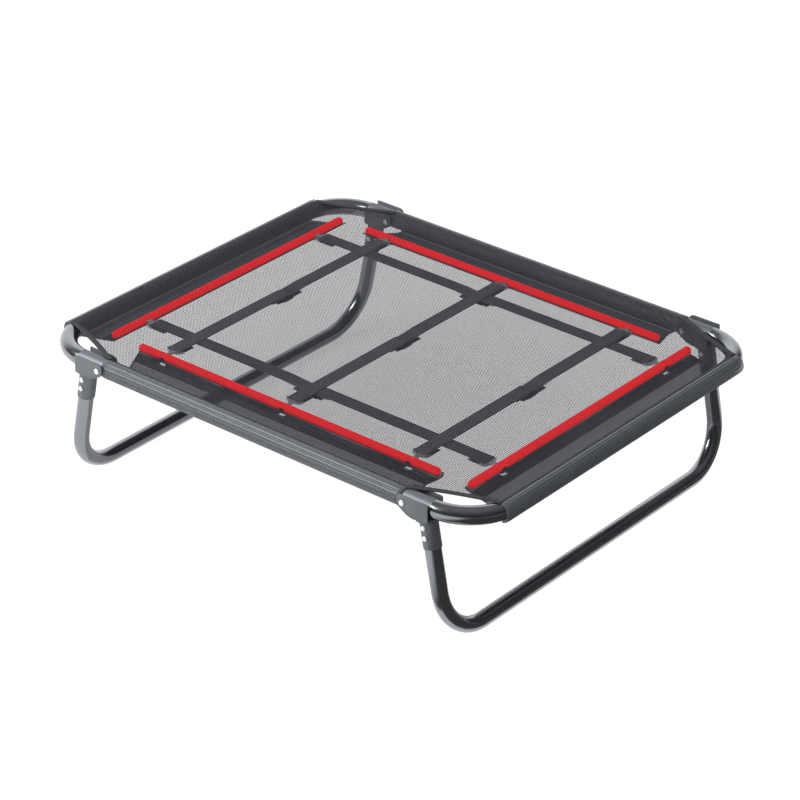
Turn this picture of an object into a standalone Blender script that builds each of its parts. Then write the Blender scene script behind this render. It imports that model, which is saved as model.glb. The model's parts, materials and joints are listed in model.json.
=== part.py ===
# Folding dog bed: a ring of round steel tube carries a mesh cover, and a U-shaped leg at each
# end hinges on two riveted brackets and folds flat under the ring. The cover wraps the ring,
# and hooked straps pull on the rods in its hems to keep it tight.
# Metres, +Z up, +X along the bed, origin on the floor under its middle.

import math

import bmesh
import bpy
from mathutils import Matrix, Vector

MM = 0.001

# Ring
FRAME_LENGTH = 780 * MM
FRAME_WIDTH = 632 * MM
FRAME_CENTRE_HEIGHT = 200 * MM
FRAME_TUBE = 25 * MM
FRAME_WALL = 1.2 * MM
FRAME_BEND = 72.5 * MM
SPIGOT_LENGTH = 40 * MM
SPIGOT_TAPER = 4 * MM

# Legs
LEG_TUBE = 22 * MM
LEG_WALL = 1.2 * MM
LEG_BEND = 71 * MM
LEG_SPLAY = math.radians(11)

# Hinges
PIVOT_INSET = 123 * MM
PLATE = 1.5 * MM
CHEEK_NOSE = 8.6 * MM
COLLAR_WALL = 1.1 * MM
COLLAR_LENGTH = 40 * MM
PIVOT_SHANK = 6 * MM
PIVOT_HEAD = 8.5 * MM
LEG_RIVET_SHANK = 4 * MM
LEG_RIVET_HEAD = 7.5 * MM
LEG_RIVET_FROM_TOP = 9.5 * MM
LEG_RIVET_PITCH = 14.5 * MM
HEAD_HEIGHT = 2.2 * MM

# Cover and the rods in its hems
CLOTH = 1.1 * MM
COVER_TO_PIVOT = 5 * MM
COVER_SIDE_INSET = 59 * MM
FLAP_BACK_FROM_PIVOT = 20.5 * MM
FLAP_TIP_PAST_COVER = 3 * MM
SIDE_FLAP_INSET = 74 * MM
ROD = 12 * MM
ROD_INSIDE_TUBE = 65 * MM
ROD_UNDER_SHEET = 0.5 * MM
ROD_END_GAP = 2 * MM
RIM_ANGLE = math.radians(-20)
MESH_STRAND = 22 * MM

# Straps
WEBBING_WIDTH = 22 * MM
WEBBING = 1.5 * MM
STRAP_UNDER_SHEET = 0.75 * MM
OUTER_STRAP_TO_ROD = 96.5 * MM
LONG_STRAP_TO_ROD = 61.5 * MM
SEWN_TAIL = 22 * MM
FREE_TAIL = 28 * MM

# Strap hooks, stamped from plate
HOOK_PLATE = 2.4 * MM
HOOK_WIDTH = 28 * MM
HOOK_BAR = 3 * MM
HOOK_SLOT = 3.4 * MM
HOOK_NOSE = 4.3 * MM
HOOK_REACH = 12.5 * MM
PRONG_WIDTH = 6 * MM
PRONG_TIP = math.radians(20)
PRONG_ROOT = math.radians(155)
SLIT_MARGIN = 1.5 * MM

# Strap adjusters
ADJUSTER_PLATE = 3 * MM
ADJUSTER_WIDTH = 29 * MM
ADJUSTER_BAR = 3 * MM
ADJUSTER_SLOT = 4.2 * MM
ADJUSTER_FRONT = 8 * MM
THUMB_TAB = 9 * MM
THUMB_RISE = 1.8 * MM
CORNER_ROUND = 2.5 * MM

# Clearances
GAP = 0.3 * MM
WEBBING_GAP = 0.35 * MM
SLOT_SIDE = 0.75 * MM
FOLD_CLEARANCE = 0.7 * MM

TUBE_SIDES = 16
ROD_SIDES = 10
RIVET_SIDES = 10
BEND_STEPS = 5
MESH_COLUMNS = 12
MESH_ROWS = 9

# Places worked out from the sizes above
FRAME_R = FRAME_TUBE / 2
LEG_R = LEG_TUBE / 2
ROD_R = ROD / 2
RING_X = FRAME_LENGTH / 2 - FRAME_R
RING_Y = FRAME_WIDTH / 2 - FRAME_R
PIVOT_X = FRAME_LENGTH / 2 - PIVOT_INSET
WRAP_R = FRAME_R + GAP + CLOTH / 2
WRAP_OUTER = FRAME_R + GAP + CLOTH
SHEET_UNDER = FRAME_R + GAP
CHEEK_IN = WRAP_OUTER + GAP
CHEEK_OUT = CHEEK_IN + PLATE
BORE_R = LEG_R + GAP
COLLAR_R = BORE_R + COLLAR_WALL
WEB_TOP = -(FRAME_R + GAP)
WEB_UNDER = WEB_TOP - PLATE
PIVOT_TO_LEG = WRAP_OUTER + COLLAR_R + FOLD_CLEARANCE
SPLAY_SIN = math.sin(LEG_SPLAY)
SPLAY_COS = math.cos(LEG_SPLAY)
LEG_TOP = (GAP - WEB_UNDER + LEG_R * SPLAY_SIN) / SPLAY_COS
LEG_DROP = (FRAME_CENTRE_HEIGHT - LEG_R * math.cos(math.pi / TUBE_SIDES)) / SPLAY_COS
COVER_X = PIVOT_X - COVER_TO_PIVOT
COVER_Y = FRAME_WIDTH / 2 - COVER_SIDE_INSET
SIDE_FLAP_Y = FRAME_WIDTH / 2 - SIDE_FLAP_INSET
ROD_X = RING_X - ROD_INSIDE_TUBE
ROD_Y = RING_Y - ROD_INSIDE_TUBE
OUTER_STRAP_X = ROD_X - OUTER_STRAP_TO_ROD
LONG_STRAP_Y = ROD_Y - LONG_STRAP_TO_ROD
ROD_LEVEL = SHEET_UNDER - ROD_UNDER_SHEET - ROD_R
CROSS_LEVEL = SHEET_UNDER - STRAP_UNDER_SHEET - WEBBING / 2
LONG_LEVEL = CROSS_LEVEL - WEBBING - GAP
HOOK_SEAT = HOOK_PLATE / 2 + WEBBING_GAP + WEBBING / 2
ADJUSTER_SEAT = ADJUSTER_PLATE / 2 + WEBBING_GAP + WEBBING / 2
ADJUSTER_DROP = ADJUSTER_SEAT + WEBBING + WEBBING_GAP


# Scene and materials
def clear_scene():
    for item in list(bpy.data.objects):
        bpy.data.objects.remove(item, do_unlink=True)


def make_collection(name):
    collection = bpy.data.collections.new(name)
    bpy.context.scene.collection.children.link(collection)
    return collection


def make_material(name, colour, roughness, metallic):
    material = bpy.data.materials.new(name)
    material.use_nodes = True
    shader = material.node_tree.nodes["Principled BSDF"]
    shader.inputs["Base Color"].default_value = (*colour, 1)
    shader.inputs["Roughness"].default_value = roughness
    shader.inputs["Metallic"].default_value = metallic
    return material


clear_scene()
BED = make_collection("folding_dog_bed")
CUTTERS = make_collection("cutters")
STEEL = make_material("painted_steel", (0.16, 0.17, 0.19), 0.25, 0.7)
BRACKET_STEEL = make_material("bracket_steel", (0.20, 0.21, 0.23), 0.4, 0.7)
RIVET_METAL = make_material("rivet_metal", (0.80, 0.80, 0.80), 0.3, 1)
COVER_CLOTH = make_material("cover_mesh", (0.05, 0.05, 0.055), 0.85, 0)
ROD_PAINT = make_material("rod_paint", (0.62, 0.01, 0.01), 0.4, 0)
WEBBING_CLOTH = make_material("webbing", (0.05, 0.055, 0.06), 0.9, 0)
HOOK_METAL = make_material("hook_metal", (0.60, 0.61, 0.63), 0.35, 1)
ADJUSTER_PLASTIC = make_material("adjuster_plastic", (0.03, 0.03, 0.035), 0.45, 0)


# Objects
def add_object(name, data, material=None, place=None, parent=None):
    item = bpy.data.objects.new(name, data)
    if material:
        BED.objects.link(item)
        if not data.materials:
            data.materials.append(material)
    else:
        CUTTERS.objects.link(item)
        item.hide_render = True
        item.display_type = "WIRE"
    item.parent = parent
    if parent:
        item.matrix_parent_inverse = parent.matrix_basis.inverted()
    item.matrix_basis = place or Matrix()
    return item


def mesh_from(name, bm):
    bmesh.ops.recalc_face_normals(bm, faces=bm.faces)
    mesh = bpy.data.meshes.new(name)
    bm.to_mesh(mesh)
    bm.free()
    return mesh


def mesh_from_curve(name, curve):
    holder = bpy.data.objects.new(name, curve)
    CUTTERS.objects.link(holder)
    bpy.context.view_layer.update()
    graph = bpy.context.evaluated_depsgraph_get()
    mesh = bpy.data.meshes.new_from_object(holder.evaluated_get(graph))
    mesh.name = name
    bpy.data.objects.remove(holder)
    bm = bmesh.new()
    bm.from_mesh(mesh)
    bmesh.ops.remove_doubles(bm, verts=bm.verts, dist=0.001 * MM)
    bm.to_mesh(mesh)
    bm.free()
    return mesh


def shade_round(mesh):
    mesh.shade_smooth()
    mesh.set_sharp_from_angle(angle=math.radians(35))


def add_boolean(item, cutter, operation="DIFFERENCE"):
    step = item.modifiers.new(f"{operation.lower()}_{cutter.name}", "BOOLEAN")
    step.object = cutter
    step.operation = operation
    step.solver = "EXACT"


def add_solidify(item, thickness, offset):
    step = item.modifiers.new("wall", "SOLIDIFY")
    step.thickness = thickness
    step.offset = offset
    step.use_even_offset = True


# Shapes
def arc(centre, radius, start, end, steps):
    turns = [start + (end - start) * i / steps for i in range(steps + 1)]
    return [
        (centre[0] + radius * math.cos(t), centre[1] + radius * math.sin(t))
        for t in turns
    ]


def round_path(corners, radius, steps):
    # A polyline through the corners, each inner corner turned on the given radius.
    path = [corners[0]]
    for before, corner, after in zip(corners, corners[1:], corners[2:]):
        back = (before - corner).normalized()
        on = (after - corner).normalized()
        half = back.angle(on) / 2
        centre = corner + (back + on).normalized() * radius / math.sin(half)
        start = corner + back * radius / math.tan(half) - centre
        axis = back.cross(on).normalized()
        sweep = math.pi - 2 * half
        for i in range(steps + 1):
            path.append(centre + Matrix.Rotation(-sweep * i / steps, 3, axis) @ start)
    path.append(corners[-1])
    return path


def sweep_curve(name, path, radius, sides, scales=None, tilt=0.0, caps=False):
    curve = bpy.data.curves.new(name, "CURVE")
    curve.dimensions = "3D"
    curve.bevel_depth = radius
    curve.bevel_resolution = sides // 2 - 2
    curve.use_fill_caps = caps
    spline = curve.splines.new("POLY")
    spline.points.add(len(path) - 1)
    for i, (point, place) in enumerate(zip(spline.points, path)):
        point.co = (*place, 1)
        point.radius = scales[i] if scales else 1
        point.tilt = tilt
    return curve


def plate_mesh(name, outlines, thickness):
    # A flat plate in local XY; outlines after the first are holes.
    curve = bpy.data.curves.new(name, "CURVE")
    curve.dimensions = "2D"
    curve.fill_mode = "BOTH"
    curve.extrude = thickness / 2
    for outline in outlines:
        spline = curve.splines.new("POLY")
        spline.points.add(len(outline) - 1)
        for point, place in zip(spline.points, outline):
            point.co = (*place, 0, 1)
        spline.use_cyclic_u = True
    return mesh_from_curve(name, curve)


def strip_mesh(name, profile, width):
    # An open strip: a profile in local XZ drawn out along Y.
    bm = bmesh.new()
    row = [bm.verts.new((u, -width / 2, w)) for u, w in profile]
    edges = [bm.edges.new(pair) for pair in zip(row, row[1:])]
    drawn = bmesh.ops.extrude_edge_only(bm, edges=edges)["geom"]
    moved = [item for item in drawn if isinstance(item, bmesh.types.BMVert)]
    bmesh.ops.translate(bm, verts=moved, vec=(0, width, 0))
    return mesh_from(name, bm)


def cylinder_mesh(name, radius, start, end, sides):
    bm = bmesh.new()
    middle = (Vector(start) + Vector(end)) / 2
    line = Vector(end) - Vector(start)
    turn = line.to_track_quat("Z", "Y").to_matrix().to_4x4()
    bmesh.ops.create_cone(
        bm,
        cap_ends=True,
        segments=sides,
        radius1=radius,
        radius2=radius,
        depth=line.length,
        matrix=Matrix.Translation(middle) @ turn,
    )
    return mesh_from(name, bm)


def box_mesh(name, low, high):
    low, high = Vector(low), Vector(high)
    bm = bmesh.new()
    place = Matrix.Translation((low + high) / 2) @ Matrix.Diagonal((*(high - low), 1))
    bmesh.ops.create_cube(bm, size=1, matrix=place)
    return mesh_from(name, bm)


def rectangle(low, high):
    return [low, (high[0], low[1]), high, (low[0], high[1])]


def rounded_rectangle(low, high, radius):
    corners = (
        ((high[0] - radius, low[1] + radius), -90),
        ((high[0] - radius, high[1] - radius), 0),
        ((low[0] + radius, high[1] - radius), 90),
        ((low[0] + radius, low[1] + radius), 180),
    )
    outline = []
    for centre, turn in corners:
        outline += arc(centre, radius, math.radians(turn), math.radians(turn + 90), 2)
    return outline


# Ring: two bent halves, each with one plain end and one necked end that fits in the other half
def ring_half_path():
    corners = [
        Vector((SPIGOT_TAPER, -RING_Y, 0)),
        Vector((RING_X, -RING_Y, 0)),
        Vector((RING_X, RING_Y, 0)),
        Vector((GAP, RING_Y, 0)),
    ]
    spigot = [Vector((-SPIGOT_LENGTH, -RING_Y, 0)), Vector((0, -RING_Y, 0))]
    return spigot + round_path(corners, FRAME_BEND, BEND_STEPS)


def make_ring():
    path = ring_half_path()
    spigot_scale = (FRAME_R - FRAME_WALL - GAP) / FRAME_R
    scales = [spigot_scale] * 2 + [1] * (len(path) - 2)
    tilt = math.pi / TUBE_SIDES
    curve = sweep_curve("frame_tube", path, FRAME_R, TUBE_SIDES, scales, tilt)
    mesh = mesh_from_curve("frame_tube", curve)
    shade_round(mesh)
    for side, turn in (("right", 0), ("left", math.pi)):
        place = Matrix.Translation((0, 0, FRAME_CENTRE_HEIGHT)) @ Matrix.Rotation(turn, 4, "Z")
        half = add_object(f"frame_tube_{side}", mesh, STEEL, place)
        add_solidify(half, FRAME_WALL, -1)
        for end in (-1, 1):
            start = (PIVOT_X, end * RING_Y - FRAME_TUBE, 0)
            stop = (PIVOT_X, end * RING_Y + FRAME_TUBE, 0)
            name = f"cut_frame_{side}_{end}"
            hole = cylinder_mesh(name, PIVOT_SHANK / 2 + GAP, start, stop, RIVET_SIDES)
            add_boolean(half, add_object(name, hole, place=place))


# Hinge brackets, in a local frame on the pivot: X outboard, Z up, the leg going down and out
def leg_point(along, across=0.0):
    crossing = PIVOT_TO_LEG / SPLAY_COS
    return (
        crossing + along * SPLAY_SIN + across * SPLAY_COS,
        -along * SPLAY_COS + across * SPLAY_SIN,
    )


def cheek_outline():
    top = FRAME_R - GAP
    end = PIVOT_TO_LEG / SPLAY_COS + COLLAR_R + PLATE
    seat = leg_point(LEG_TOP - 2.5 * MM, -COLLAR_R)
    nose = arc((0, 0), CHEEK_NOSE, math.radians(180), math.radians(232), 3)
    shoulder = arc((0, 0), top, math.radians(100), math.radians(130), 2)
    return (
        nose
        + [
            (seat[0] - 11 * MM, WEB_UNDER),
            (seat[0] - 5.5 * MM, WEB_UNDER - PLATE),
            seat,
            (end, WEB_UNDER - GAP),
            (end, top - PLATE),
            (end - PLATE, top),
        ]
        + shoulder
        + [(-CHEEK_NOSE, top / 2)]
    )


def socket_mesh():
    # The socket is a round collar on the leg that flares out to the two cheeks.
    levels = (
        (LEG_TOP - 5 * MM, CHEEK_OUT - GAP),
        (LEG_TOP + 0.5 * MM, CHEEK_OUT - GAP),
        (LEG_TOP + 4 * MM, COLLAR_R),
        (LEG_TOP + COLLAR_LENGTH, COLLAR_R),
    )
    power = {COLLAR_R: 1.0}
    bm = bmesh.new()
    rings = []
    for along, half_width in levels:
        square = power.get(half_width, 0.55)
        ring = []
        for i in range(TUBE_SIDES):
            turn = 2 * math.pi * (i + 0.5) / TUBE_SIDES
            across = math.copysign(abs(math.cos(turn)) ** square, math.cos(turn))
            wide = math.copysign(abs(math.sin(turn)) ** square, math.sin(turn))
            x, z = leg_point(along, COLLAR_R * across)
            ring.append(bm.verts.new((x, half_width * wide, z)))
        rings.append(ring)
    for above, below in zip(rings, rings[1:]):
        for i in range(TUBE_SIDES):
            j = (i + 1) % TUBE_SIDES
            bm.faces.new((above[i], above[j], below[j], below[i]))
    bm.faces.new(rings[0])
    bm.faces.new(rings[-1])
    return mesh_from("bracket_socket", bm)


def bracket_mesh():
    # The cheeks, web and socket joined, bored for the leg and the rivets.
    turn = Matrix.Rotation(math.radians(90), 4, "X")
    cheek = plate_mesh("bracket_cheek", [cheek_outline()], PLATE)
    middle = (CHEEK_IN + CHEEK_OUT) / 2
    front = Matrix.Translation((0, -middle, 0)) @ turn
    back = Matrix.Translation((0, middle, 0)) @ turn
    end = PIVOT_TO_LEG / SPLAY_COS + COLLAR_R + GAP
    web_start = leg_point(LEG_TOP, -COLLAR_R)[0]
    reach = CHEEK_IN + PLATE / 2
    web = box_mesh("bracket_web", (web_start, -reach, WEB_UNDER), (end, reach, WEB_TOP))
    above = box_mesh(
        "cut_above_web",
        (-FRAME_LENGTH, -CHEEK_IN * 2, (WEB_TOP + WEB_UNDER) / 2),
        (FRAME_LENGTH, CHEEK_IN * 2, FRAME_LENGTH),
    )
    bore_top, bore_end = LEG_TOP - GAP, LEG_TOP + COLLAR_LENGTH + PLATE
    x0, z0 = leg_point(bore_top)
    x1, z1 = leg_point(bore_end)
    bore = cylinder_mesh("cut_bore", BORE_R, (x0, 0, z0), (x1, 0, z1), TUBE_SIDES)
    body = add_object("bracket_body", socket_mesh())
    add_boolean(body, add_object("cut_above_web", above))
    for name, mesh, place in (
        ("cheek_front", cheek, front),
        ("cheek_back", cheek, back),
        ("bracket_web", web, None),
    ):
        add_boolean(body, add_object(name, mesh, place=place), "UNION")
    add_boolean(body, add_object("cut_bore", bore))
    holes = [(0.0, 0.0, PIVOT_SHANK / 2 + GAP)]
    for along in leg_rivet_places():
        holes.append((*leg_point(along), LEG_RIVET_SHANK / 2 + GAP))
    for i, (x, z, radius) in enumerate(holes):
        name = f"cut_bracket_{i}"
        ends = (x, -CHEEK_OUT * 2, z), (x, CHEEK_OUT * 2, z)
        cutter = cylinder_mesh(name, radius, *ends, RIVET_SIDES)
        add_boolean(body, add_object(name, cutter))
    bpy.context.view_layer.update()
    graph = bpy.context.evaluated_depsgraph_get()
    mesh = bpy.data.meshes.new_from_object(body.evaluated_get(graph))
    mesh.name = "hinge_bracket"
    bpy.data.objects.remove(body)
    shade_round(mesh)
    return mesh


def leg_rivet_places():
    first = LEG_TOP + LEG_RIVET_FROM_TOP
    return first, first + LEG_RIVET_PITCH


def rivet_profile(name, shank, head, seat):
    # A shank along Y with a domed head on each end, each under side at seat from the middle.
    radius = head / 2
    dome = [
        (-seat - HEAD_HEIGHT * math.cos(t), radius * math.sin(t))
        for t in (0, math.radians(50))
    ]
    profile = dome + [(-seat, radius), (-seat, shank / 2)]
    profile += [(-y, r) for y, r in reversed(profile)]
    bm = bmesh.new()
    row = [bm.verts.new((r, y, 0)) for y, r in profile]
    for pair in zip(row, row[1:]):
        bm.edges.new(pair)
    mesh = bpy.data.meshes.new(name)
    bm.to_mesh(mesh)
    bm.free()
    return mesh


def add_rivet(name, profile, place, parent=None):
    rivet = add_object(name, profile, RIVET_METAL, place, parent)
    step = rivet.modifiers.new("turn", "SCREW")
    step.axis = "Y"
    step.angle = 2 * math.pi
    step.steps = step.render_steps = RIVET_SIDES
    step.use_merge_vertices = True
    step.merge_threshold = 0.001 * MM
    step.use_normal_flip = True
    return rivet


# Legs: a U of tube in the splayed plane, its ends in the two sockets
def leg_mesh():
    top_x, top_z = leg_point(LEG_TOP)
    low_x, low_z = leg_point(LEG_DROP)
    corners = [
        Vector((top_x, -RING_Y, top_z)),
        Vector((low_x, -RING_Y, low_z)),
        Vector((low_x, RING_Y, low_z)),
        Vector((top_x, RING_Y, top_z)),
    ]
    path = round_path(corners, LEG_BEND, BEND_STEPS)
    tilt = math.pi / TUBE_SIDES + LEG_SPLAY
    mesh = mesh_from_curve("leg", sweep_curve("leg", path, LEG_R, TUBE_SIDES, None, tilt))
    shade_round(mesh)
    return mesh


def make_legs():
    leg, bracket = leg_mesh(), bracket_mesh()
    pivot_rivet = rivet_profile("pivot_rivet", PIVOT_SHANK, PIVOT_HEAD, CHEEK_OUT + GAP)
    leg_rivet = rivet_profile("leg_rivet", LEG_RIVET_SHANK, LEG_RIVET_HEAD, COLLAR_R + GAP)
    for side, sign, turn in (("right", 1, 0), ("left", -1, math.pi)):
        place = Matrix.Translation((sign * PIVOT_X, 0, FRAME_CENTRE_HEIGHT))
        place = place @ Matrix.Rotation(turn, 4, "Z")
        pivot = add_pivot(f"leg_{side}_pivot", place)
        tube = add_object(f"leg_{side}", leg, STEEL, place, pivot)
        add_solidify(tube, LEG_WALL, -1)
        for end, toward in (("front", -1), ("back", 1)):
            at = place @ Matrix.Translation((0, sign * toward * RING_Y, 0))
            add_object(f"hinge_bracket_{end}_{side}", bracket, BRACKET_STEEL, at, pivot)
            add_rivet(f"pivot_rivet_{end}_{side}", pivot_rivet, at)
            for word, along in zip(("upper", "lower"), leg_rivet_places()):
                x, z = leg_point(along)
                rivet_at = at @ Matrix.Translation((x, 0, z))
                name = f"leg_rivet_{word}_{end}_{side}"
                add_rivet(name, leg_rivet, rivet_at, pivot)
                hole = cylinder_mesh(
                    f"cut_{name}",
                    LEG_RIVET_SHANK / 2 + GAP,
                    (0, -LEG_TUBE, 0),
                    (0, LEG_TUBE, 0),
                    RIVET_SIDES,
                )
                add_boolean(tube, add_object(f"cut_{name}", hole, place=rivet_at))


def add_pivot(name, place):
    pivot = bpy.data.objects.new(name, None)
    pivot.empty_display_size = FRAME_TUBE
    BED.objects.link(pivot)
    pivot.matrix_basis = place
    return pivot


# Cover: a flat sheet over the ring, and on each side a wrap that goes round the tube, comes
# back as a flap and cradles a rod in its hem
def make_sheet():
    x, y = RING_X - GAP, RING_Y - GAP
    corner = [(COVER_X, y), (x, COVER_Y)]
    outline = (
        corner
        + [(u, -v) for u, v in reversed(corner)]
        + [(-u, -v) for u, v in corner]
        + [(-u, v) for u, v in reversed(corner)]
    )
    mesh = plate_mesh("cover_sheet", [outline], CLOTH)
    level = FRAME_CENTRE_HEIGHT + SHEET_UNDER + CLOTH / 2
    place = Matrix.Translation((0, 0, level))
    sheet = add_object("cover_sheet", mesh, COVER_CLOTH, place)
    add_boolean(sheet, add_object("cut_mesh", mesh_openings(), place=place))


def mesh_openings():
    # A plain grid stands for the cover's fine mesh: openings between rods, a strand apart.
    step_x, step_y = 2 * ROD_X / MESH_COLUMNS, 2 * ROD_Y / MESH_ROWS
    size = Matrix.Diagonal((step_x - MESH_STRAND, step_y - MESH_STRAND, 4 * CLOTH, 1))
    bm = bmesh.new()
    for column in range(MESH_COLUMNS):
        for row in range(MESH_ROWS):
            middle = ((column + 0.5) * step_x - ROD_X, (row + 0.5) * step_y - ROD_Y, 0)
            bmesh.ops.create_cube(bm, size=1, matrix=Matrix.Translation(middle) @ size)
    return mesh_from("cut_mesh", bm)


def wrap_profile():
    # Local X runs inward from the tube's axis and Z up from it.
    flat = FRAME_R / 2
    cradle = ROD_R + GAP + CLOTH / 2
    to_rod = Vector((ROD_INSIDE_TUBE - flat, ROD_LEVEL + WRAP_R))
    slope = math.atan2(to_rod.y, to_rod.x) - math.asin(cradle / to_rod.length)
    rod = (ROD_INSIDE_TUBE, ROD_LEVEL)
    round_tube = arc((0, 0), WRAP_R, math.radians(90), math.radians(270), 10)
    round_rod = arc(rod, cradle, slope - math.radians(90), RIM_ANGLE, 6)
    return round_tube + [(flat, -WRAP_R)] + round_rod


def wrap_cutter(name, half, flap_near, flap_tip, straps, place):
    # Trims the ends of the wrap and its slanted flap, and slits the hem where hooks reach in.
    height = 2 * WRAP_R
    clear = CHEEK_OUT + GAP * 4
    far = ROD_INSIDE_TUBE + ROD
    beyond = half + FRAME_TUBE
    corner = [(-height, half), (GAP, half), (GAP, flap_near), (clear, flap_near)]
    corner += [(ROD_INSIDE_TUBE, flap_tip), (far, flap_tip), (far, beyond)]
    corner += [(-height, beyond)]
    prong = ROD_R + GAP + HOOK_PLATE
    crossing = math.sqrt(prong ** 2 - (ROD_R + GAP) ** 2)
    slit = PRONG_WIDTH / 2 + SLIT_MARGIN
    outlines = [corner, [(u, -v) for u, v in reversed(corner)]]
    for at in straps:
        near = ROD_INSIDE_TUBE - crossing - 2 * GAP
        away = ROD_INSIDE_TUBE + prong + 2 * GAP
        outlines.append(rectangle((near, at - slit), (away, at + slit)))
    return add_object(name, plate_mesh(name, outlines, 2 * height), place=place)


def rod_mesh(name, half):
    inset = ROD_R / 2
    path = [-half, -half + inset / 3, -half + inset, half - inset, half - inset / 3, half]
    scales = [0.55, 0.85, 1, 1, 0.85, 0.55]
    points = [Vector((0, y, 0)) for y in path]
    curve = sweep_curve(name, points, ROD_R, ROD_SIDES, scales, 0, caps=True)
    mesh = mesh_from_curve(name, curve)
    shade_round(mesh)
    return mesh


def make_wraps():
    long_near = PIVOT_X - FLAP_BACK_FROM_PIVOT
    long_tip = COVER_X + FLAP_TIP_PAST_COVER
    cross = [-OUTER_STRAP_X, 0, OUTER_STRAP_X]
    long = [-LONG_STRAP_Y, LONG_STRAP_Y]
    sides = (
        ("front", 90, (0, -RING_Y), COVER_X, long_near, long_tip, cross),
        ("back", -90, (0, RING_Y), COVER_X, long_near, long_tip, cross),
        ("left", 0, (-RING_X, 0), COVER_Y, SIDE_FLAP_Y, SIDE_FLAP_Y, long),
        ("right", 180, (RING_X, 0), COVER_Y, SIDE_FLAP_Y, SIDE_FLAP_Y, long),
    )
    for side, turn, (x, y), half, near, tip, straps in sides:
        place = Matrix.Translation((x, y, FRAME_CENTRE_HEIGHT))
        place = place @ Matrix.Rotation(math.radians(turn), 4, "Z")
        mesh = strip_mesh(f"cover_wrap_{side}", wrap_profile(), 2 * max(half, tip) + ROD)
        wrap = add_object(f"cover_wrap_{side}", mesh, COVER_CLOTH, place)
        add_solidify(wrap, CLOTH, 0)
        add_boolean(wrap, wrap_cutter(f"cut_wrap_{side}", half, near, tip, straps, place))
        rod_at = place @ Matrix.Translation((ROD_INSIDE_TUBE, 0, ROD_LEVEL))
        rod = rod_mesh(f"hem_rod_{side}", tip - ROD_END_GAP)
        add_object(f"hem_rod_{side}", rod, ROD_PAINT, rod_at)


# Straps
def round_bar(left, right, half_thickness, start, end):
    # The middle line of webbing that turns round a bar from quarter start to quarter end.
    distance = WEBBING_GAP + WEBBING / 2
    corners = (
        ((right, half_thickness), 90, 0),
        ((right, -half_thickness), 0, -90),
        ((left, -half_thickness), -90, -180),
        ((left, half_thickness), 180, 90),
    )
    path = []
    for centre, first, last in corners[start:end]:
        path += arc(centre, distance, math.radians(first), math.radians(last), 3)
    return path


def hook_outline():
    # The hook's plate seen from above, with local X pointing at the rod.
    bar_start = -(HOOK_REACH + HOOK_NOSE + HOOK_SLOT + HOOK_BAR)
    shoulder = bar_start + HOOK_BAR
    half = HOOK_WIDTH / 2
    depth = -HOOK_REACH - shoulder
    nose = [
        (shoulder + depth * math.cos(t), half * math.sin(t))
        for t in (math.radians(a) for a in (-90, -60, -35, 0, 35, 60, 90))
    ]
    outline = [(bar_start, half), (bar_start, -half)] + nose
    slot_half = WEBBING_WIDTH / 2 + SLOT_SIDE
    slot_end = shoulder + HOOK_SLOT
    slot = [
        (shoulder, -slot_half),
        (shoulder + HOOK_SLOT * 0.65, -slot_half),
        (slot_end, -slot_half * 0.55),
        (slot_end, slot_half * 0.55),
        (shoulder + HOOK_SLOT * 0.65, slot_half),
        (shoulder, slot_half),
    ]
    return outline, slot


def prong_outline(rise):
    # The prong seen from the side: under the rod and up behind it.
    inner = ROD_R + GAP
    outer = inner + HOOK_PLATE
    root = -HOOK_REACH - HOOK_NOSE / 2
    half = HOOK_PLATE / 2 - GAP / 2
    outer_arc = arc((0, 0), outer, PRONG_TIP, math.radians(-160), 9)
    inner_arc = arc((0, 0), inner, PRONG_ROOT - 2 * math.pi, PRONG_TIP, 9)
    return (
        outer_arc
        + [(-HOOK_REACH, rise - half), (root, rise - half)]
        + [(root, rise + half), (-HOOK_REACH, rise + half)]
        + inner_arc
    )


def hook_mesh(name, rise):
    plate = add_object(f"{name}_plate", plate_mesh(name, hook_outline(), HOOK_PLATE))
    plate.matrix_basis = Matrix.Translation((0, 0, rise))
    turn = Matrix.Rotation(math.radians(90), 4, "X")
    prong = plate_mesh(f"{name}_prong", [prong_outline(rise)], PRONG_WIDTH)
    add_boolean(plate, add_object(f"{name}_prong", prong, place=turn), "UNION")
    bpy.context.view_layer.update()
    graph = bpy.context.evaluated_depsgraph_get()
    mesh = bpy.data.meshes.new_from_object(plate.evaluated_get(graph))
    mesh.transform(plate.matrix_basis)
    mesh.name = name
    bpy.data.objects.remove(plate)
    return mesh


def adjuster_bars():
    # Start of the rear bar, the middle bar and the front bar along the strap.
    rear = -(ADJUSTER_BAR * 1.5 + ADJUSTER_SLOT)
    middle = rear + ADJUSTER_BAR + ADJUSTER_SLOT
    front = middle + ADJUSTER_BAR + ADJUSTER_SLOT
    return rear, middle, front


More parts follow.
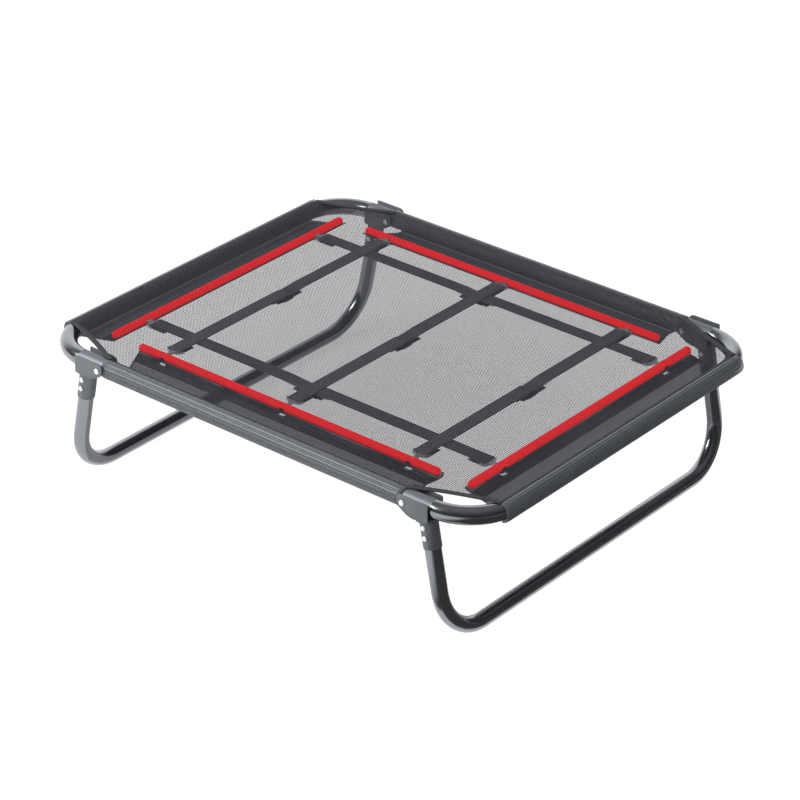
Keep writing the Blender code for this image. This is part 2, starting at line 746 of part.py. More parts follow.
def adjuster_mesh():
    # A three-bar ladder lock with a thumb tab on the side that the loose end leaves.
    rear, middle, front = adjuster_bars()
    half = ADJUSTER_WIDTH / 2
    slot_half = WEBBING_WIDTH / 2 + SLOT_SIDE
    end = front + ADJUSTER_FRONT
    outlines = [rounded_rectangle((rear, -half), (end, half), CORNER_ROUND)]
    for start in (rear, middle):
        low = (start + ADJUSTER_BAR, -slot_half)
        high = (start + ADJUSTER_BAR + ADJUSTER_SLOT, slot_half)
        outlines.append(rectangle(low, high))
    body = add_object("adjuster_body", plate_mesh("adjuster", outlines, ADJUSTER_PLATE))
    lean = math.atan2(THUMB_RISE, THUMB_TAB)
    tab_low, tab_high = (0, -half + CORNER_ROUND), (THUMB_TAB, half - CORNER_ROUND)
    tab_outline = rounded_rectangle(tab_low, tab_high, CORNER_ROUND)
    tab = plate_mesh("thumb_tab", [tab_outline], ADJUSTER_PLATE * 0.6)
    place = Matrix.Translation((end - THUMB_TAB / 3, 0, 0)) @ Matrix.Rotation(-lean, 4, "Y")
    add_boolean(body, add_object("thumb_tab", tab, place=place), "UNION")
    bpy.context.view_layer.update()
    graph = bpy.context.evaluated_depsgraph_get()
    mesh = bpy.data.meshes.new_from_object(body.evaluated_get(graph))
    mesh.name = "adjuster"
    bpy.data.objects.remove(body)
    return mesh


def webbing_at_hook(rod, level):
    # Webbing that comes in over the hook's bar, turns round it and is sewn under itself.
    bar_start = rod - (HOOK_REACH + HOOK_NOSE + HOOK_SLOT + HOOK_BAR)
    turn = round_bar(bar_start, bar_start + HOOK_BAR, HOOK_PLATE / 2, 0, 2)
    plane = level - HOOK_SEAT
    under = plane - HOOK_SEAT
    return [(u, w + plane) for u, w in turn] + [(bar_start - SEWN_TAIL, under)]


def fixed_webbing(rod, level):
    # From the adjuster's rear bar to the hook on the -X side.
    rear = adjuster_bars()[0]
    plane = level - ADJUSTER_DROP
    turn = round_bar(rear, rear + ADJUSTER_BAR, ADJUSTER_PLATE / 2, 0, 2)
    at_bar = [(rear - SEWN_TAIL, plane - ADJUSTER_SEAT)]
    at_bar += [(u, w + plane) for u, w in reversed(turn)]
    at_bar.append((rear - SEWN_TAIL - FREE_TAIL, level))
    at_hook = [(-u, w) for u, w in webbing_at_hook(rod, level)]
    return at_bar + at_hook


def pull_webbing(rod, level):
    # From the hook on the +X side, over the adjuster, down its rear slot, under its middle bar
    # and out over the front bar as a tail beneath itself.
    middle, front = adjuster_bars()[1:]
    plane = level - ADJUSTER_DROP
    side = WEBBING_GAP + WEBBING / 2
    upper = [
        (front + FREE_TAIL, ADJUSTER_DROP),
        (middle + ADJUSTER_BAR / 2, ADJUSTER_DROP),
        (middle - side / 2, ADJUSTER_DROP - WEBBING / 2),
        (middle - side, ADJUSTER_DROP - 2 * WEBBING),
    ]
    turn = round_bar(middle, middle + ADJUSTER_BAR, ADJUSTER_PLATE / 2, 3, 4)
    turn += round_bar(middle, middle + ADJUSTER_BAR, ADJUSTER_PLATE / 2, 0, 1)
    under = [(u, -w) for u, w in turn]
    out_of_slot = middle + ADJUSTER_BAR + side
    tail = [
        (out_of_slot, ADJUSTER_PLATE / 6),
        ((out_of_slot + front) / 2, ADJUSTER_SEAT - WEBBING_GAP),
        (front, ADJUSTER_SEAT),
        (front + FREE_TAIL - WEBBING, ADJUSTER_SEAT),
    ]
    path = [(u, w + plane) for u, w in upper + under + tail]
    return list(reversed(webbing_at_hook(rod, level))) + path


def add_webbing(name, path, place):
    mesh = strip_mesh(name, path, WEBBING_WIDTH)
    add_solidify(add_object(name, mesh, WEBBING_CLOTH, place), WEBBING, 0)


def make_straps():
    adjuster = adjuster_mesh()
    hooks = {
        level: hook_mesh(name, level - HOOK_SEAT - ROD_LEVEL)
        for name, level in (("cross_hook", CROSS_LEVEL), ("long_hook", LONG_LEVEL))
    }
    straps = [
        (f"cross_strap_{word}", -90, (x, 0), ROD_Y, CROSS_LEVEL, ("front", "back"))
        for word, x in zip(("left", "middle", "right"), (-OUTER_STRAP_X, 0, OUTER_STRAP_X))
    ]
    straps += [
        (f"long_strap_{word}", 0, (0, y), ROD_X, LONG_LEVEL, ("right", "left"))
        for word, y in (("front", -LONG_STRAP_Y), ("back", LONG_STRAP_Y))
    ]
    for name, turn, (x, y), rod, level, (pull_end, fixed_end) in straps:
        place = Matrix.Translation((x, y, FRAME_CENTRE_HEIGHT))
        place = place @ Matrix.Rotation(math.radians(turn), 4, "Z")
        add_webbing(f"{name}_webbing_{fixed_end}", fixed_webbing(rod, level), place)
        add_webbing(f"{name}_webbing_{pull_end}", pull_webbing(rod, level), place)
        lift = Matrix.Translation((0, 0, level - ADJUSTER_DROP))
        tab_down = Matrix.Rotation(math.pi, 4, "X")
        add_object(f"{name}_adjuster", adjuster, ADJUSTER_PLASTIC, place @ lift @ tab_down)
        at_rod = Matrix.Translation((rod, 0, ROD_LEVEL))
        half_turn = Matrix.Rotation(math.pi, 4, "Z")
        hook = hooks[level]
        add_object(f"{name}_hook_{pull_end}", hook, HOOK_METAL, place @ at_rod)
        add_object(f"{name}_hook_{fixed_end}", hook, HOOK_METAL, place @ half_turn @ at_rod)


make_ring()
make_legs()
make_sheet()
make_wraps()
make_straps()
bpy.context.view_layer.update()
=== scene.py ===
import json
import math

import bmesh
import bpy
from mathutils import Matrix, Vector

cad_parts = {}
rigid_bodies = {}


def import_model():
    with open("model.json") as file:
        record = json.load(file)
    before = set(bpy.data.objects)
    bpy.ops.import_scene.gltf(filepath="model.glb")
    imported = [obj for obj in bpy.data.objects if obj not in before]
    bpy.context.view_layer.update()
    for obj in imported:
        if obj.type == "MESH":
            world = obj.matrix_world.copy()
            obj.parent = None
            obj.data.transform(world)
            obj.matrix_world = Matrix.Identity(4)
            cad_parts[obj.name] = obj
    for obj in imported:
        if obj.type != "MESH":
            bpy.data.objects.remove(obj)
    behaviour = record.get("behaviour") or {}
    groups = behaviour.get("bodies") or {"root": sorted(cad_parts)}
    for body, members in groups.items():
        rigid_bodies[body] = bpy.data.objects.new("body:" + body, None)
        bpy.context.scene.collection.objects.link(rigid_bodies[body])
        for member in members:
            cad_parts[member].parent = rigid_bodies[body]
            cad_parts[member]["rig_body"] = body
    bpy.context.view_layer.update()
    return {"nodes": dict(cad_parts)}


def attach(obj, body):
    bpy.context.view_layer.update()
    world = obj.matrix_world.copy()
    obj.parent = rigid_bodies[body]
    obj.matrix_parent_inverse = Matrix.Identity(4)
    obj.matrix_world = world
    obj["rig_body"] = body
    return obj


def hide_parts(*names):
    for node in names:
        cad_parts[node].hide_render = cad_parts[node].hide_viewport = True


# Folding dog bed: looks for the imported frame. Metres, +Z up, lengths below are written in mm.
mm = 0.001
weavePitch = 2.8 * mm
coverReach = (262 * mm, 257 * mm)
bracketReach = 308 * mm

for item in list(bpy.data.objects):
    bpy.data.objects.remove(item, do_unlink=True)
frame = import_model()
print("frame loaded:", len(frame["nodes"]), "nodes")


# ---- camera and studio ----
cameraView = {
    "lens": 142.43,
    "sensor": 36,
    "azimuth": 39.52,
    "elevation": 29.02,
    "roll": 0.389,
    "distance": 4331.4 * mm,
    "aim": (0, 0, 200 * mm),
    "slideRight": -0.64 * mm,
    "slideUp": -72.61 * mm,
}


def makeCamera(v):
    azimuth, elevation = math.radians(v["azimuth"]), math.radians(v["elevation"])
    back = Vector((
        math.sin(azimuth) * math.cos(elevation),
        -math.cos(azimuth) * math.cos(elevation),
        math.sin(elevation),
    ))
    level = Vector((math.cos(azimuth), math.sin(azimuth), 0))
    upright = back.cross(level)
    roll = math.radians(v["roll"])
    right = level * math.cos(roll) + upright * math.sin(roll)
    up = upright * math.cos(roll) - level * math.sin(roll)
    place = Vector(v["aim"]) + back * v["distance"]
    place += right * v["slideRight"] + up * v["slideUp"]
    data = bpy.data.cameras.new("camera")
    data.lens = v["lens"]
    data.sensor_width = v["sensor"]
    data.clip_end = 100
    camera = bpy.data.objects.new("camera", data)
    bpy.context.scene.collection.objects.link(camera)
    camera.matrix_world = Matrix.Translation(place) @ Matrix((right, up, back)).transposed().to_4x4()
    bpy.context.scene.camera = camera


studio = {
    "worldForDiffuse": 0.70,
    "worldFromFront": (-0.26, -0.23, 0),
    "floorSize": 30,
    "floorGlow": 0.95,
    "floorTone": 0.19,
    "floorBounce": 0.38,
    "domeRadius": 6,
    "domeLow": 0.02,
    "domeFar": (-0.80, 0.60, 0),
    "domeGlow": (0.06, 1.3),
    "domeTop": 0.28,
    # dim cards on the floor, painted shade of the floor seen only in reflections: glow at the picture's left and at
    # its right, between which two places across the picture, then corners
    "cards": (
        ((0.95, 0.10), (-0.12, 0.0), ((0.14, -0.36), (0.352, -0.36), (0.352, 0.45), (3.0, 1.6), (3.0, -3.0), (2.32, -3.0))),
        ((0.58, 0.42), (-0.4, 0.4), ((-0.316, -0.29), (0.30, -0.29), (0.30, 0.31), (-0.316, 0.31))),
    ),
    # name: place, aim, size, watts, seen in reflections
    "lamps": {
        "keyLamp": ((-1.9, -2.3, 2.3), (0, 0, 0.2), (1.5, 1.0), 105, True),
        "backLamp": ((1.6, 2.6, 1.9), (0, 0, 0.2), (1.8, 0.8), 16, False),
        "topLamp": ((0.2, -0.2, 3.2), (0, 0, 0.2), (1.2, 1.2), 12, False),
    },
}


def addNode(tree, kind, **values):
    made = tree.nodes.new(kind)
    for key, value in values.items():
        if hasattr(made, key):
            setattr(made, key, value)
        else:
            made.inputs[key.replace("_", " ")].default_value = value
    return made


def mathNode(tree, operation, first, second=None, third=None):
    made = tree.nodes.new("ShaderNodeMath")
    made.operation = operation
    for socket, value in zip(made.inputs, (first, second, third)):
        if value is None:
            continue
        if isinstance(value, (int, float)):
            socket.default_value = value
        else:
            tree.links.new(value, socket)
    return made.outputs[0]


def shownDirectly(tree):
    # One where a camera, mirror or glass ray looks, so that the pale ground shows there too.
    path = tree.nodes.new("ShaderNodeLightPath")
    seen = mathNode(tree, "MAXIMUM", path.outputs["Is Camera Ray"], path.outputs["Is Glossy Ray"])
    return mathNode(tree, "MAXIMUM", seen, path.outputs["Is Transmission Ray"])


def makeStudio(v):
    world = bpy.data.worlds.new("studio")
    bpy.context.scene.world = world
    world.use_nodes = True
    tree = world.node_tree
    ground = tree.nodes["Background"]
    ground.inputs["Color"].default_value = (1, 1, 1, 1)
    # the light on matt surfaces is stronger from the front left
    toward = tree.nodes.new("ShaderNodeTexCoord")
    uneven = addNode(tree, "ShaderNodeVectorMath", operation="DOT_PRODUCT")
    uneven.inputs[1].default_value = v["worldFromFront"]
    tree.links.new(toward.outputs["Generated"], uneven.inputs[0])
    light = mathNode(tree, "ADD", uneven.outputs["Value"], v["worldForDiffuse"])
    rest = mathNode(tree, "SUBTRACT", 1, light)
    share = mathNode(tree, "MULTIPLY_ADD", shownDirectly(tree), rest, light)
    tree.links.new(share, ground.inputs["Strength"])

    floorMaterial = bpy.data.materials.new("paleFloor")
    floorMaterial.use_nodes = True
    tree = floorMaterial.node_tree
    tree.nodes.clear()
    seen = shownDirectly(tree)
    tone = tree.nodes.new("ShaderNodeMix")
    tone.data_type = "FLOAT"
    tree.links.new(seen, tone.inputs["Factor"])
    tone.inputs["A"].default_value = v["floorBounce"]
    tone.inputs["B"].default_value = v["floorTone"]
    diffuse = tree.nodes.new("ShaderNodeBsdfDiffuse")
    tree.links.new(tone.outputs["Result"], diffuse.inputs["Color"])
    glow = tree.nodes.new("ShaderNodeEmission")
    tree.links.new(mathNode(tree, "MULTIPLY", seen, v["floorGlow"]), glow.inputs["Strength"])
    both = tree.nodes.new("ShaderNodeAddShader")
    tree.links.new(diffuse.outputs[0], both.inputs[0])
    tree.links.new(glow.outputs[0], both.inputs[1])
    out = tree.nodes.new("ShaderNodeOutputMaterial")
    tree.links.new(both.outputs[0], out.inputs["Surface"])
    half = v["floorSize"] / 2
    mesh = bpy.data.meshes.new("floor")
    mesh.from_pydata([(-half, -half, 0), (half, -half, 0), (half, half, 0), (-half, half, 0)], [], [(0, 1, 2, 3)])
    mesh.materials.append(floorMaterial)
    floor = bpy.data.objects.new("floor", mesh)
    bpy.context.scene.collection.objects.link(floor)

    # Dim screens seen only in reflections give the glossy tubes their dark core: a dome, paler behind the bed, and
    # cards on the floor, which are painted shade of the floor under and beside the bed.
    domeMaterial = bpy.data.materials.new("dimDome")
    domeMaterial.use_nodes = True
    tree = domeMaterial.node_tree
    tree.nodes.clear()
    place = tree.nodes.new("ShaderNodeTexCoord")
    toward = addNode(tree, "ShaderNodeVectorMath", operation="DOT_PRODUCT")
    toward.inputs[1].default_value = [c / v["domeRadius"] for c in v["domeFar"]]
    tree.links.new(place.outputs["Object"], toward.inputs[0])
    low, high = v["domeGlow"]
    spread = addNode(tree, "ShaderNodeMapRange", interpolation_type="SMOOTHSTEP")
    for socketName, value in (("From Min", 0.50), ("From Max", 0.86), ("To Min", low), ("To Max", high)):
        spread.inputs[socketName].default_value = value
    tree.links.new(toward.outputs["Value"], spread.inputs["Value"])
    split = tree.nodes.new("ShaderNodeSeparateXYZ")
    tree.links.new(place.outputs["Object"], split.inputs[0])
    above = mathNode(tree, "POWER", mathNode(tree, "DIVIDE", split.outputs["Z"], v["domeRadius"]), 3)
    glow = addNode(tree, "ShaderNodeEmission", Color=(1, 1, 1, 1))
    tree.links.new(mathNode(tree, "MULTIPLY_ADD", above, v["domeTop"], spread.outputs["Result"]), glow.inputs["Strength"])
    out = tree.nodes.new("ShaderNodeOutputMaterial")
    tree.links.new(glow.outputs[0], out.inputs["Surface"])
    bm = bmesh.new()
    bmesh.ops.create_uvsphere(bm, u_segments=48, v_segments=24, radius=v["domeRadius"])
    below = [vert for vert in bm.verts if vert.co.z < v["domeLow"] * v["domeRadius"] - 0.2]
    bmesh.ops.delete(bm, geom=below, context="VERTS")
    mesh = bpy.data.meshes.new("reflectedDome")
    bm.to_mesh(mesh)
    bm.free()
    mesh.materials.append(domeMaterial)
    dome = bpy.data.objects.new("reflectedDome", mesh)

    screens = [dome]
    for i, (strengths, places, corners) in enumerate(v["cards"]):
        cardMaterial = bpy.data.materials.new(f"dimCard{i}")
        cardMaterial.use_nodes = True
        tree = cardMaterial.node_tree
        tree.nodes.clear()
        place = tree.nodes.new("ShaderNodeTexCoord")
        across = addNode(tree, "ShaderNodeVectorMath", operation="DOT_PRODUCT")
        across.inputs[1].default_value = (0.771, 0.636, 0)
        tree.links.new(place.outputs["Object"], across.inputs[0])
        spread = addNode(tree, "ShaderNodeMapRange", interpolation_type="SMOOTHSTEP")
        for socketName, value in zip(("From Min", "From Max", "To Min", "To Max"), (*places, *strengths)):
            spread.inputs[socketName].default_value = value
        tree.links.new(across.outputs["Value"], spread.inputs["Value"])
        glow = addNode(tree, "ShaderNodeEmission", Color=(1, 1, 1, 1))
        tree.links.new(spread.outputs["Result"], glow.inputs["Strength"])
        out = tree.nodes.new("ShaderNodeOutputMaterial")
        tree.links.new(glow.outputs[0], out.inputs["Surface"])
        mesh = bpy.data.meshes.new(f"reflectedCard{i}")
        mesh.from_pydata([(x, y, 0.2 * mm) for x, y in corners], [], [tuple(range(len(corners)))])
        mesh.materials.append(cardMaterial)
        screens.append(bpy.data.objects.new(mesh.name, mesh))
    for screen in screens:
        bpy.context.scene.collection.objects.link(screen)
        screen.visible_camera = screen.visible_diffuse = screen.visible_shadow = False
        screen.visible_transmission = screen.visible_volume_scatter = False

    for name, (place, aim, (width, height), watts, mirrored) in v["lamps"].items():
        data = bpy.data.lights.new(name, "AREA")
        data.shape = "RECTANGLE"
        data.size, data.size_y = width, height
        data.energy = watts
        lamp = bpy.data.objects.new(name, data)
        bpy.context.scene.collection.objects.link(lamp)
        lamp.location = place
        lamp.visible_glossy = mirrored
        lamp.rotation_mode = "QUATERNION"
        lamp.rotation_quaternion = (Vector(aim) - Vector(place)).to_track_quat("-Z", "Y")


makeCamera(cameraView)
makeStudio(studio)
bpy.context.scene.view_settings.view_transform = "Standard"
print("camera and studio ready")


# ---- shared shader effects ----
def newGroup(name, inputs, outputs):
    group = bpy.data.node_groups.new(name, "ShaderNodeTree")
    for socketName, kind, value in inputs:
        socket = group.interface.new_socket(socketName, in_out="INPUT", socket_type=kind)
        if value is not None:
            socket.default_value = value
    for socketName, kind in outputs:
        group.interface.new_socket(socketName, in_out="OUTPUT", socket_type=kind)
    return group, group.nodes.new("NodeGroupInput"), group.nodes.new("NodeGroupOutput")


def colourMix(tree, factor, first, second):
    made = tree.nodes.new("ShaderNodeMix")
    made.data_type = "RGBA"
    tree.links.new(factor, made.inputs["Factor"])
    for name, value in (("A", first), ("B", second)):
        socket = [s for s in made.inputs if s.name == name and s.type == "RGBA"][0]
        if isinstance(value, (tuple, list)):
            socket.default_value = value
        else:
            tree.links.new(value, socket)
    return [s for s in made.outputs if s.type == "RGBA"][0]


def makeFineGrain():
    # Mottled tone, gloss and a faint orange-peel height for paint, metal and plastic.
    group, given, result = newGroup(
        "fineGrain",
        [
            ("Scale", "NodeSocketFloat", 900),
            ("Cloud scale", "NodeSocketFloat", 14),
            ("Dark", "NodeSocketColor", (0, 0, 0, 1)),
            ("Light", "NodeSocketColor", (1, 1, 1, 1)),
            ("Roughness low", "NodeSocketFloat", 0.2),
            ("Roughness high", "NodeSocketFloat", 0.3),
        ],
        [("Color", "NodeSocketColor"), ("Roughness", "NodeSocketFloat"), ("Height", "NodeSocketFloat")],
    )
    place = group.nodes.new("ShaderNodeTexCoord")
    fine = addNode(group, "ShaderNodeTexNoise", Detail=3, Roughness=0.6)
    cloud = addNode(group, "ShaderNodeTexNoise", Detail=2, Roughness=0.5)
    for texture, socketName in ((fine, "Scale"), (cloud, "Cloud scale")):
        group.links.new(place.outputs["Object"], texture.inputs["Vector"])
        group.links.new(given.outputs[socketName], texture.inputs["Scale"])
    tone = mathNode(group, "MULTIPLY_ADD", fine.outputs["Fac"], 0.5, mathNode(group, "MULTIPLY", cloud.outputs["Fac"], 0.5))
    group.links.new(colourMix(group, tone, given.outputs["Dark"], given.outputs["Light"]), result.inputs["Color"])
    spread = mathNode(group, "SUBTRACT", given.outputs["Roughness high"], given.outputs["Roughness low"])
    rough = mathNode(group, "MULTIPLY_ADD", cloud.outputs["Fac"], spread, given.outputs["Roughness low"])
    group.links.new(rough, result.inputs["Roughness"])
    group.links.new(fine.outputs["Fac"], result.inputs["Height"])
    return group


def makeWovenThread():
    # Plain weave: two sets of threads that pass over and under, sheer between them.
    group, given, result = newGroup(
        "wovenThread",
        [
            ("Vector", "NodeSocketVector", None),
            ("Threads per metre", "NodeSocketFloat", 500),
            ("Dark", "NodeSocketColor", (0, 0, 0, 1)),
            ("Light", "NodeSocketColor", (1, 1, 1, 1)),
            ("Thin", "NodeSocketFloat", 1.0),
            ("Thick", "NodeSocketFloat", 1.0),
        ],
        [("Color", "NodeSocketColor"), ("Height", "NodeSocketFloat"), ("Solid", "NodeSocketFloat")],
    )
    split = group.nodes.new("ShaderNodeSeparateXYZ")
    group.links.new(given.outputs["Vector"], split.inputs[0])
    waves = []
    for axis in ("X", "Y"):
        turns = mathNode(group, "MULTIPLY", split.outputs[axis], given.outputs["Threads per metre"])
        waves.append(mathNode(group, "SINE", mathNode(group, "MULTIPLY", turns, math.pi)))
    across, along = (mathNode(group, "ABSOLUTE", wave) for wave in waves)
    over = mathNode(group, "GREATER_THAN", mathNode(group, "MULTIPLY", waves[0], waves[1]), 0)
    # where the first set lies over, its round back shows, and elsewhere the other's does
    back = mathNode(group, "MULTIPLY", across, over)
    under = mathNode(group, "MULTIPLY", along, mathNode(group, "SUBTRACT", 1, over))
    height = mathNode(group, "ADD", back, under)
    group.links.new(height, result.inputs["Height"])
    # painted shade: the colour runs from Dark where the threads dip to Light on their raised backs
    group.links.new(colourMix(group, height, given.outputs["Dark"], given.outputs["Light"]), result.inputs["Color"])
    spread = mathNode(group, "SUBTRACT", given.outputs["Thick"], given.outputs["Thin"])
    group.links.new(mathNode(group, "MULTIPLY_ADD", height, spread, given.outputs["Thin"]), result.inputs["Solid"])
    return group


fineGrain = makeFineGrain()
wovenThread = makeWovenThread()


def newMaterial(name, **values):
    material = bpy.data.materials.new(name)
    material.use_nodes = True
    shader = material.node_tree.nodes["Principled BSDF"]
    for key, value in values.items():
        shader.inputs[key.replace("_", " ")].default_value = value
    return material, material.node_tree, shader


def useGroup(tree, group, **values):
    made = tree.nodes.new("ShaderNodeGroup")
    made.node_tree = group
    for key, value in values.items():
        made.inputs[key.replace("_", " ")].default_value = value
    return made


def addBump(tree, shader, height, distance, strength=1.0):
    bump = addNode(tree, "ShaderNodeBump", Strength=strength, Distance=distance)
    tree.links.new(height, bump.inputs["Height"])
    tree.links.new(bump.outputs["Normal"], shader.inputs["Normal"])
    return bump


def grainMaterial(name, dark, light, rough, scale, cloud, peel, **values):
    material, tree, shader = newMaterial(name, **values)
    grain = useGroup(
        tree, fineGrain, Scale=scale, Cloud_scale=cloud, Dark=(*dark, 1), Light=(*light, 1),
        Roughness_low=rough[0], Roughness_high=rough[1],
    )
    tree.links.new(grain.outputs["Color"], shader.inputs["Base Color"])
    tree.links.new(grain.outputs["Roughness"], shader.inputs["Roughness"])
    addBump(tree, shader, grain.outputs["Height"], peel)
    return material


def clothMaterial(name, dark, light, threads, relief, rough, solid=None, **values):
    # Follows the cloth by the point attribute weaveAt: metres along and across it.
    material, tree, shader = newMaterial(name, Roughness=rough, **values)
    place = addNode(tree, "ShaderNodeAttribute", attribute_name="weaveAt")
    thin, thick = solid or (1, 1)
    weave = useGroup(
        tree, wovenThread, Threads_per_metre=threads, Dark=(*dark, 1), Light=(*light, 1), Thin=thin, Thick=thick
    )
    tree.links.new(place.outputs["Vector"], weave.inputs["Vector"])
    tree.links.new(weave.outputs["Color"], shader.inputs["Base Color"])
    if solid:
        # less shows through the weave the more aslant it is seen
        aslant = addNode(tree, "ShaderNodeLayerWeight", Blend=0.5)
        spread = addNode(tree, "ShaderNodeMapRange", interpolation_type="SMOOTHSTEP")
        for socketName, value in (("From Min", 0.42), ("From Max", 0.76), ("To Min", 0), ("To Max", 0.65)):
            spread.inputs[socketName].default_value = value
        tree.links.new(aslant.outputs["Facing"], spread.inputs["Value"])
        between = mathNode(tree, "SUBTRACT", 1, weave.outputs["Solid"])
        share = mathNode(tree, "MULTIPLY_ADD", between, spread.outputs["Result"], weave.outputs["Solid"])
        tree.links.new(share, shader.inputs["Alpha"])
    addBump(tree, shader, weave.outputs["Height"], relief)
    return material


def addPulledShine(material, reach):
    # The cloth shines where it is pulled round the tube, up to this reach along its weave.
    tree = material.node_tree
    place = addNode(tree, "ShaderNodeAttribute", attribute_name="weaveAt")
    split = tree.nodes.new("ShaderNodeSeparateXYZ")
    tree.links.new(place.outputs["Vector"], split.inputs[0])
    near = mathNode(tree, "LESS_THAN", split.outputs["Y"], reach)
    tree.links.new(near, tree.nodes["Principled BSDF"].inputs["Coat Weight"])


paintedSteel = grainMaterial(
    "paintedSteel", (0.225, 0.235, 0.255), (0.285, 0.295, 0.320), (0.19, 0.27), 700, 9, 0.02 * mm,
    Metallic=1.0, Coat_Weight=0.3, Coat_Roughness=0.05,
)
bracketSteel = grainMaterial(
    "bracketSteel", (0.16, 0.168, 0.184), (0.22, 0.232, 0.252), (0.54, 0.64), 1400, 20, 0.03 * mm,
    Metallic=0.65,
)
rivetMetal = grainMaterial(
    "rivetMetal", (0.84, 0.85, 0.86), (0.95, 0.95, 0.95), (0.25, 0.38), 1800, 60, 0.02 * mm, Metallic=0.4
)
hookMetal = grainMaterial(
    "hookMetal", (0.70, 0.71, 0.73), (0.88, 0.88, 0.89), (0.25, 0.38), 1500, 50, 0.02 * mm, Metallic=0.45
)
adjusterPlastic = grainMaterial(
    "adjusterPlastic", (0.045, 0.047, 0.053), (0.075, 0.078, 0.086), (0.38, 0.52), 1100, 30, 0.05 * mm
)
meshThread = grainMaterial(
    "meshThread", (0.020, 0.0213, 0.028), (0.031, 0.033, 0.043), (0.5, 0.65), 1500, 25, 0.03 * mm,
    Specular_IOR_Level=0.03,
)
stitchThread = grainMaterial(
    "stitchThread", (0.10, 0.10, 0.11), (0.17, 0.17, 0.18), (0.6, 0.75), 2500, 80, 0.03 * mm
)
coverCloth = clothMaterial(
    "coverCloth", (0.058, 0.063, 0.075), (0.130, 0.141, 0.165), 900, 0.05 * mm, 0.38, (0.42, 0.66),
    Specular_IOR_Level=0.08, Coat_Roughness=0.40, Coat_IOR=1.55,
)
addPulledShine(coverCloth, 43 * mm)
bindingTape = clothMaterial(
    "bindingTape", (0.012, 0.012, 0.014), (0.034, 0.036, 0.040), 900, 0.10 * mm, 0.7,
)
webbingCloth = clothMaterial(
    "webbingCloth", (0.14, 0.146, 0.163), (0.27, 0.28, 0.308), 700, 0.16 * mm, 0.7,
    Sheen_Weight=0.15, Sheen_Roughness=0.5,
)


def spanMask(tree, operation, reach):
    # One where a point's distance from the bed's middle, along X or along Y, passes the test.
    place = tree.nodes.new("ShaderNodeTexCoord")
    split = tree.nodes.new("ShaderNodeSeparateXYZ")
    tree.links.new(place.outputs["Object"], split.inputs[0])
    sides = [
        mathNode(tree, operation, mathNode(tree, "ABSOLUTE", split.outputs[axis]), limit)
        for axis, limit in zip("XY", reach)
    ]
    return mathNode(tree, "MAXIMUM", *sides)


def makeRingPaint():
    # The tube's paint, duller between the brackets' cheeks and dull where the cover lies on it.
    material = grainMaterial(
        "ringPaint", (0.225, 0.235, 0.255), (0.285, 0.295, 0.320), (0.17, 0.24), 700, 9, 0.02 * mm,
        Metallic=1.0,
    )
    tree = material.node_tree
    shader = tree.nodes["Principled BSDF"]
    dull = spanMask(tree, "LESS_THAN", coverReach)
    rubbed = spanMask(tree, "LESS_THAN", (bracketReach, coverReach[1]))
    rough = shader.inputs["Roughness"].links[0].from_socket
    tree.links.new(mathNode(tree, "MULTIPLY_ADD", rubbed, 0.4, rough), shader.inputs["Roughness"])
    tree.links.new(mathNode(tree, "MULTIPLY_ADD", rubbed, -0.3, 0.3), shader.inputs["Coat Weight"])
    tree.links.new(mathNode(tree, "MULTIPLY_ADD", dull, -0.9, 1.0), shader.inputs["Metallic"])
    paint = shader.inputs["Base Color"].links[0].from_socket
    tree.links.new(colourMix(tree, dull, paint, (0.21, 0.217, 0.24, 1)), shader.inputs["Base Color"])
    return material


def makeRodPaintAndGlow():
    # Bright red paint with a painted red glow: emission on the upper side, seen by camera rays only, so that it reads
    # through the dark mesh.
    material, tree, shader = newMaterial("rodPaintAndGlow", Emission_Strength=1.4, Specular_IOR_Level=0.12)
    grain = useGroup(
        tree, fineGrain, Scale=900, Cloud_scale=12, Dark=(0.50, 0.006, 0.006, 1), Light=(0.66, 0.012, 0.012, 1),
        Roughness_low=0.45, Roughness_high=0.6,
    )
    tree.links.new(grain.outputs["Color"], shader.inputs["Base Color"])
    tree.links.new(grain.outputs["Roughness"], shader.inputs["Roughness"])
    # painted glow: red emission, strongest on the rod's upward faces and shown to camera rays only
    facing = tree.nodes.new("ShaderNodeNewGeometry")
    split = tree.nodes.new("ShaderNodeSeparateXYZ")
    tree.links.new(facing.outputs["Normal"], split.inputs[0])
    spread = addNode(tree, "ShaderNodeMapRange", interpolation_type="SMOOTHSTEP")
    for socketName, value in (("From Min", -0.75), ("From Max", 0.35), ("To Min", 0), ("To Max", 1)):
        spread.inputs[socketName].default_value = value
    tree.links.new(split.outputs["Z"], spread.inputs["Value"])
    seen = tree.nodes.new("ShaderNodeLightPath").outputs["Is Camera Ray"]
    share = mathNode(tree, "MULTIPLY", spread.outputs["Result"], seen)
    lift = colourMix(tree, share, (0, 0, 0, 1), (1.0, 0.0, 0.0, 1))
    tree.links.new(lift, shader.inputs["Emission Color"])
    return material


ringPaint = makeRingPaint()
rodPaintAndGlow = makeRodPaintAndGlow()
print("materials ready")


# ---- mesh helpers ----
def pieceName(node):
    words = node.split("_")
    return words[0] + "".join(word.capitalize() for word in words[1:])


def bodyOf(node):
    return frame["nodes"][node]["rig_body"]


def addPiece(name, mesh, material, body=None, node=None):
    piece = bpy.data.objects.new(name, mesh)
    bpy.context.scene.collection.objects.link(piece)
    if not mesh.materials:
        mesh.materials.append(material)
    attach(piece, body or bodyOf(node))
    if node:
        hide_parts(node)
    return piece


def meshFrom(name, bm, smoothAngle=35):
    bmesh.ops.recalc_face_normals(bm, faces=bm.faces)
    mesh = bpy.data.meshes.new(name)
    bm.to_mesh(mesh)
    bm.free()
    mesh.shade_smooth()
    mesh.set_sharp_from_angle(angle=math.radians(smoothAngle))
    return mesh


def moved(mesh, place):
    mesh.transform(place)
    return mesh


def arcPoints(centre, radius, start, end, steps):
    turns = [start + (end - start) * i / steps for i in range(steps + 1)]
    return [(centre[0] + radius * math.cos(t), centre[1] + radius * math.sin(t)) for t in turns]


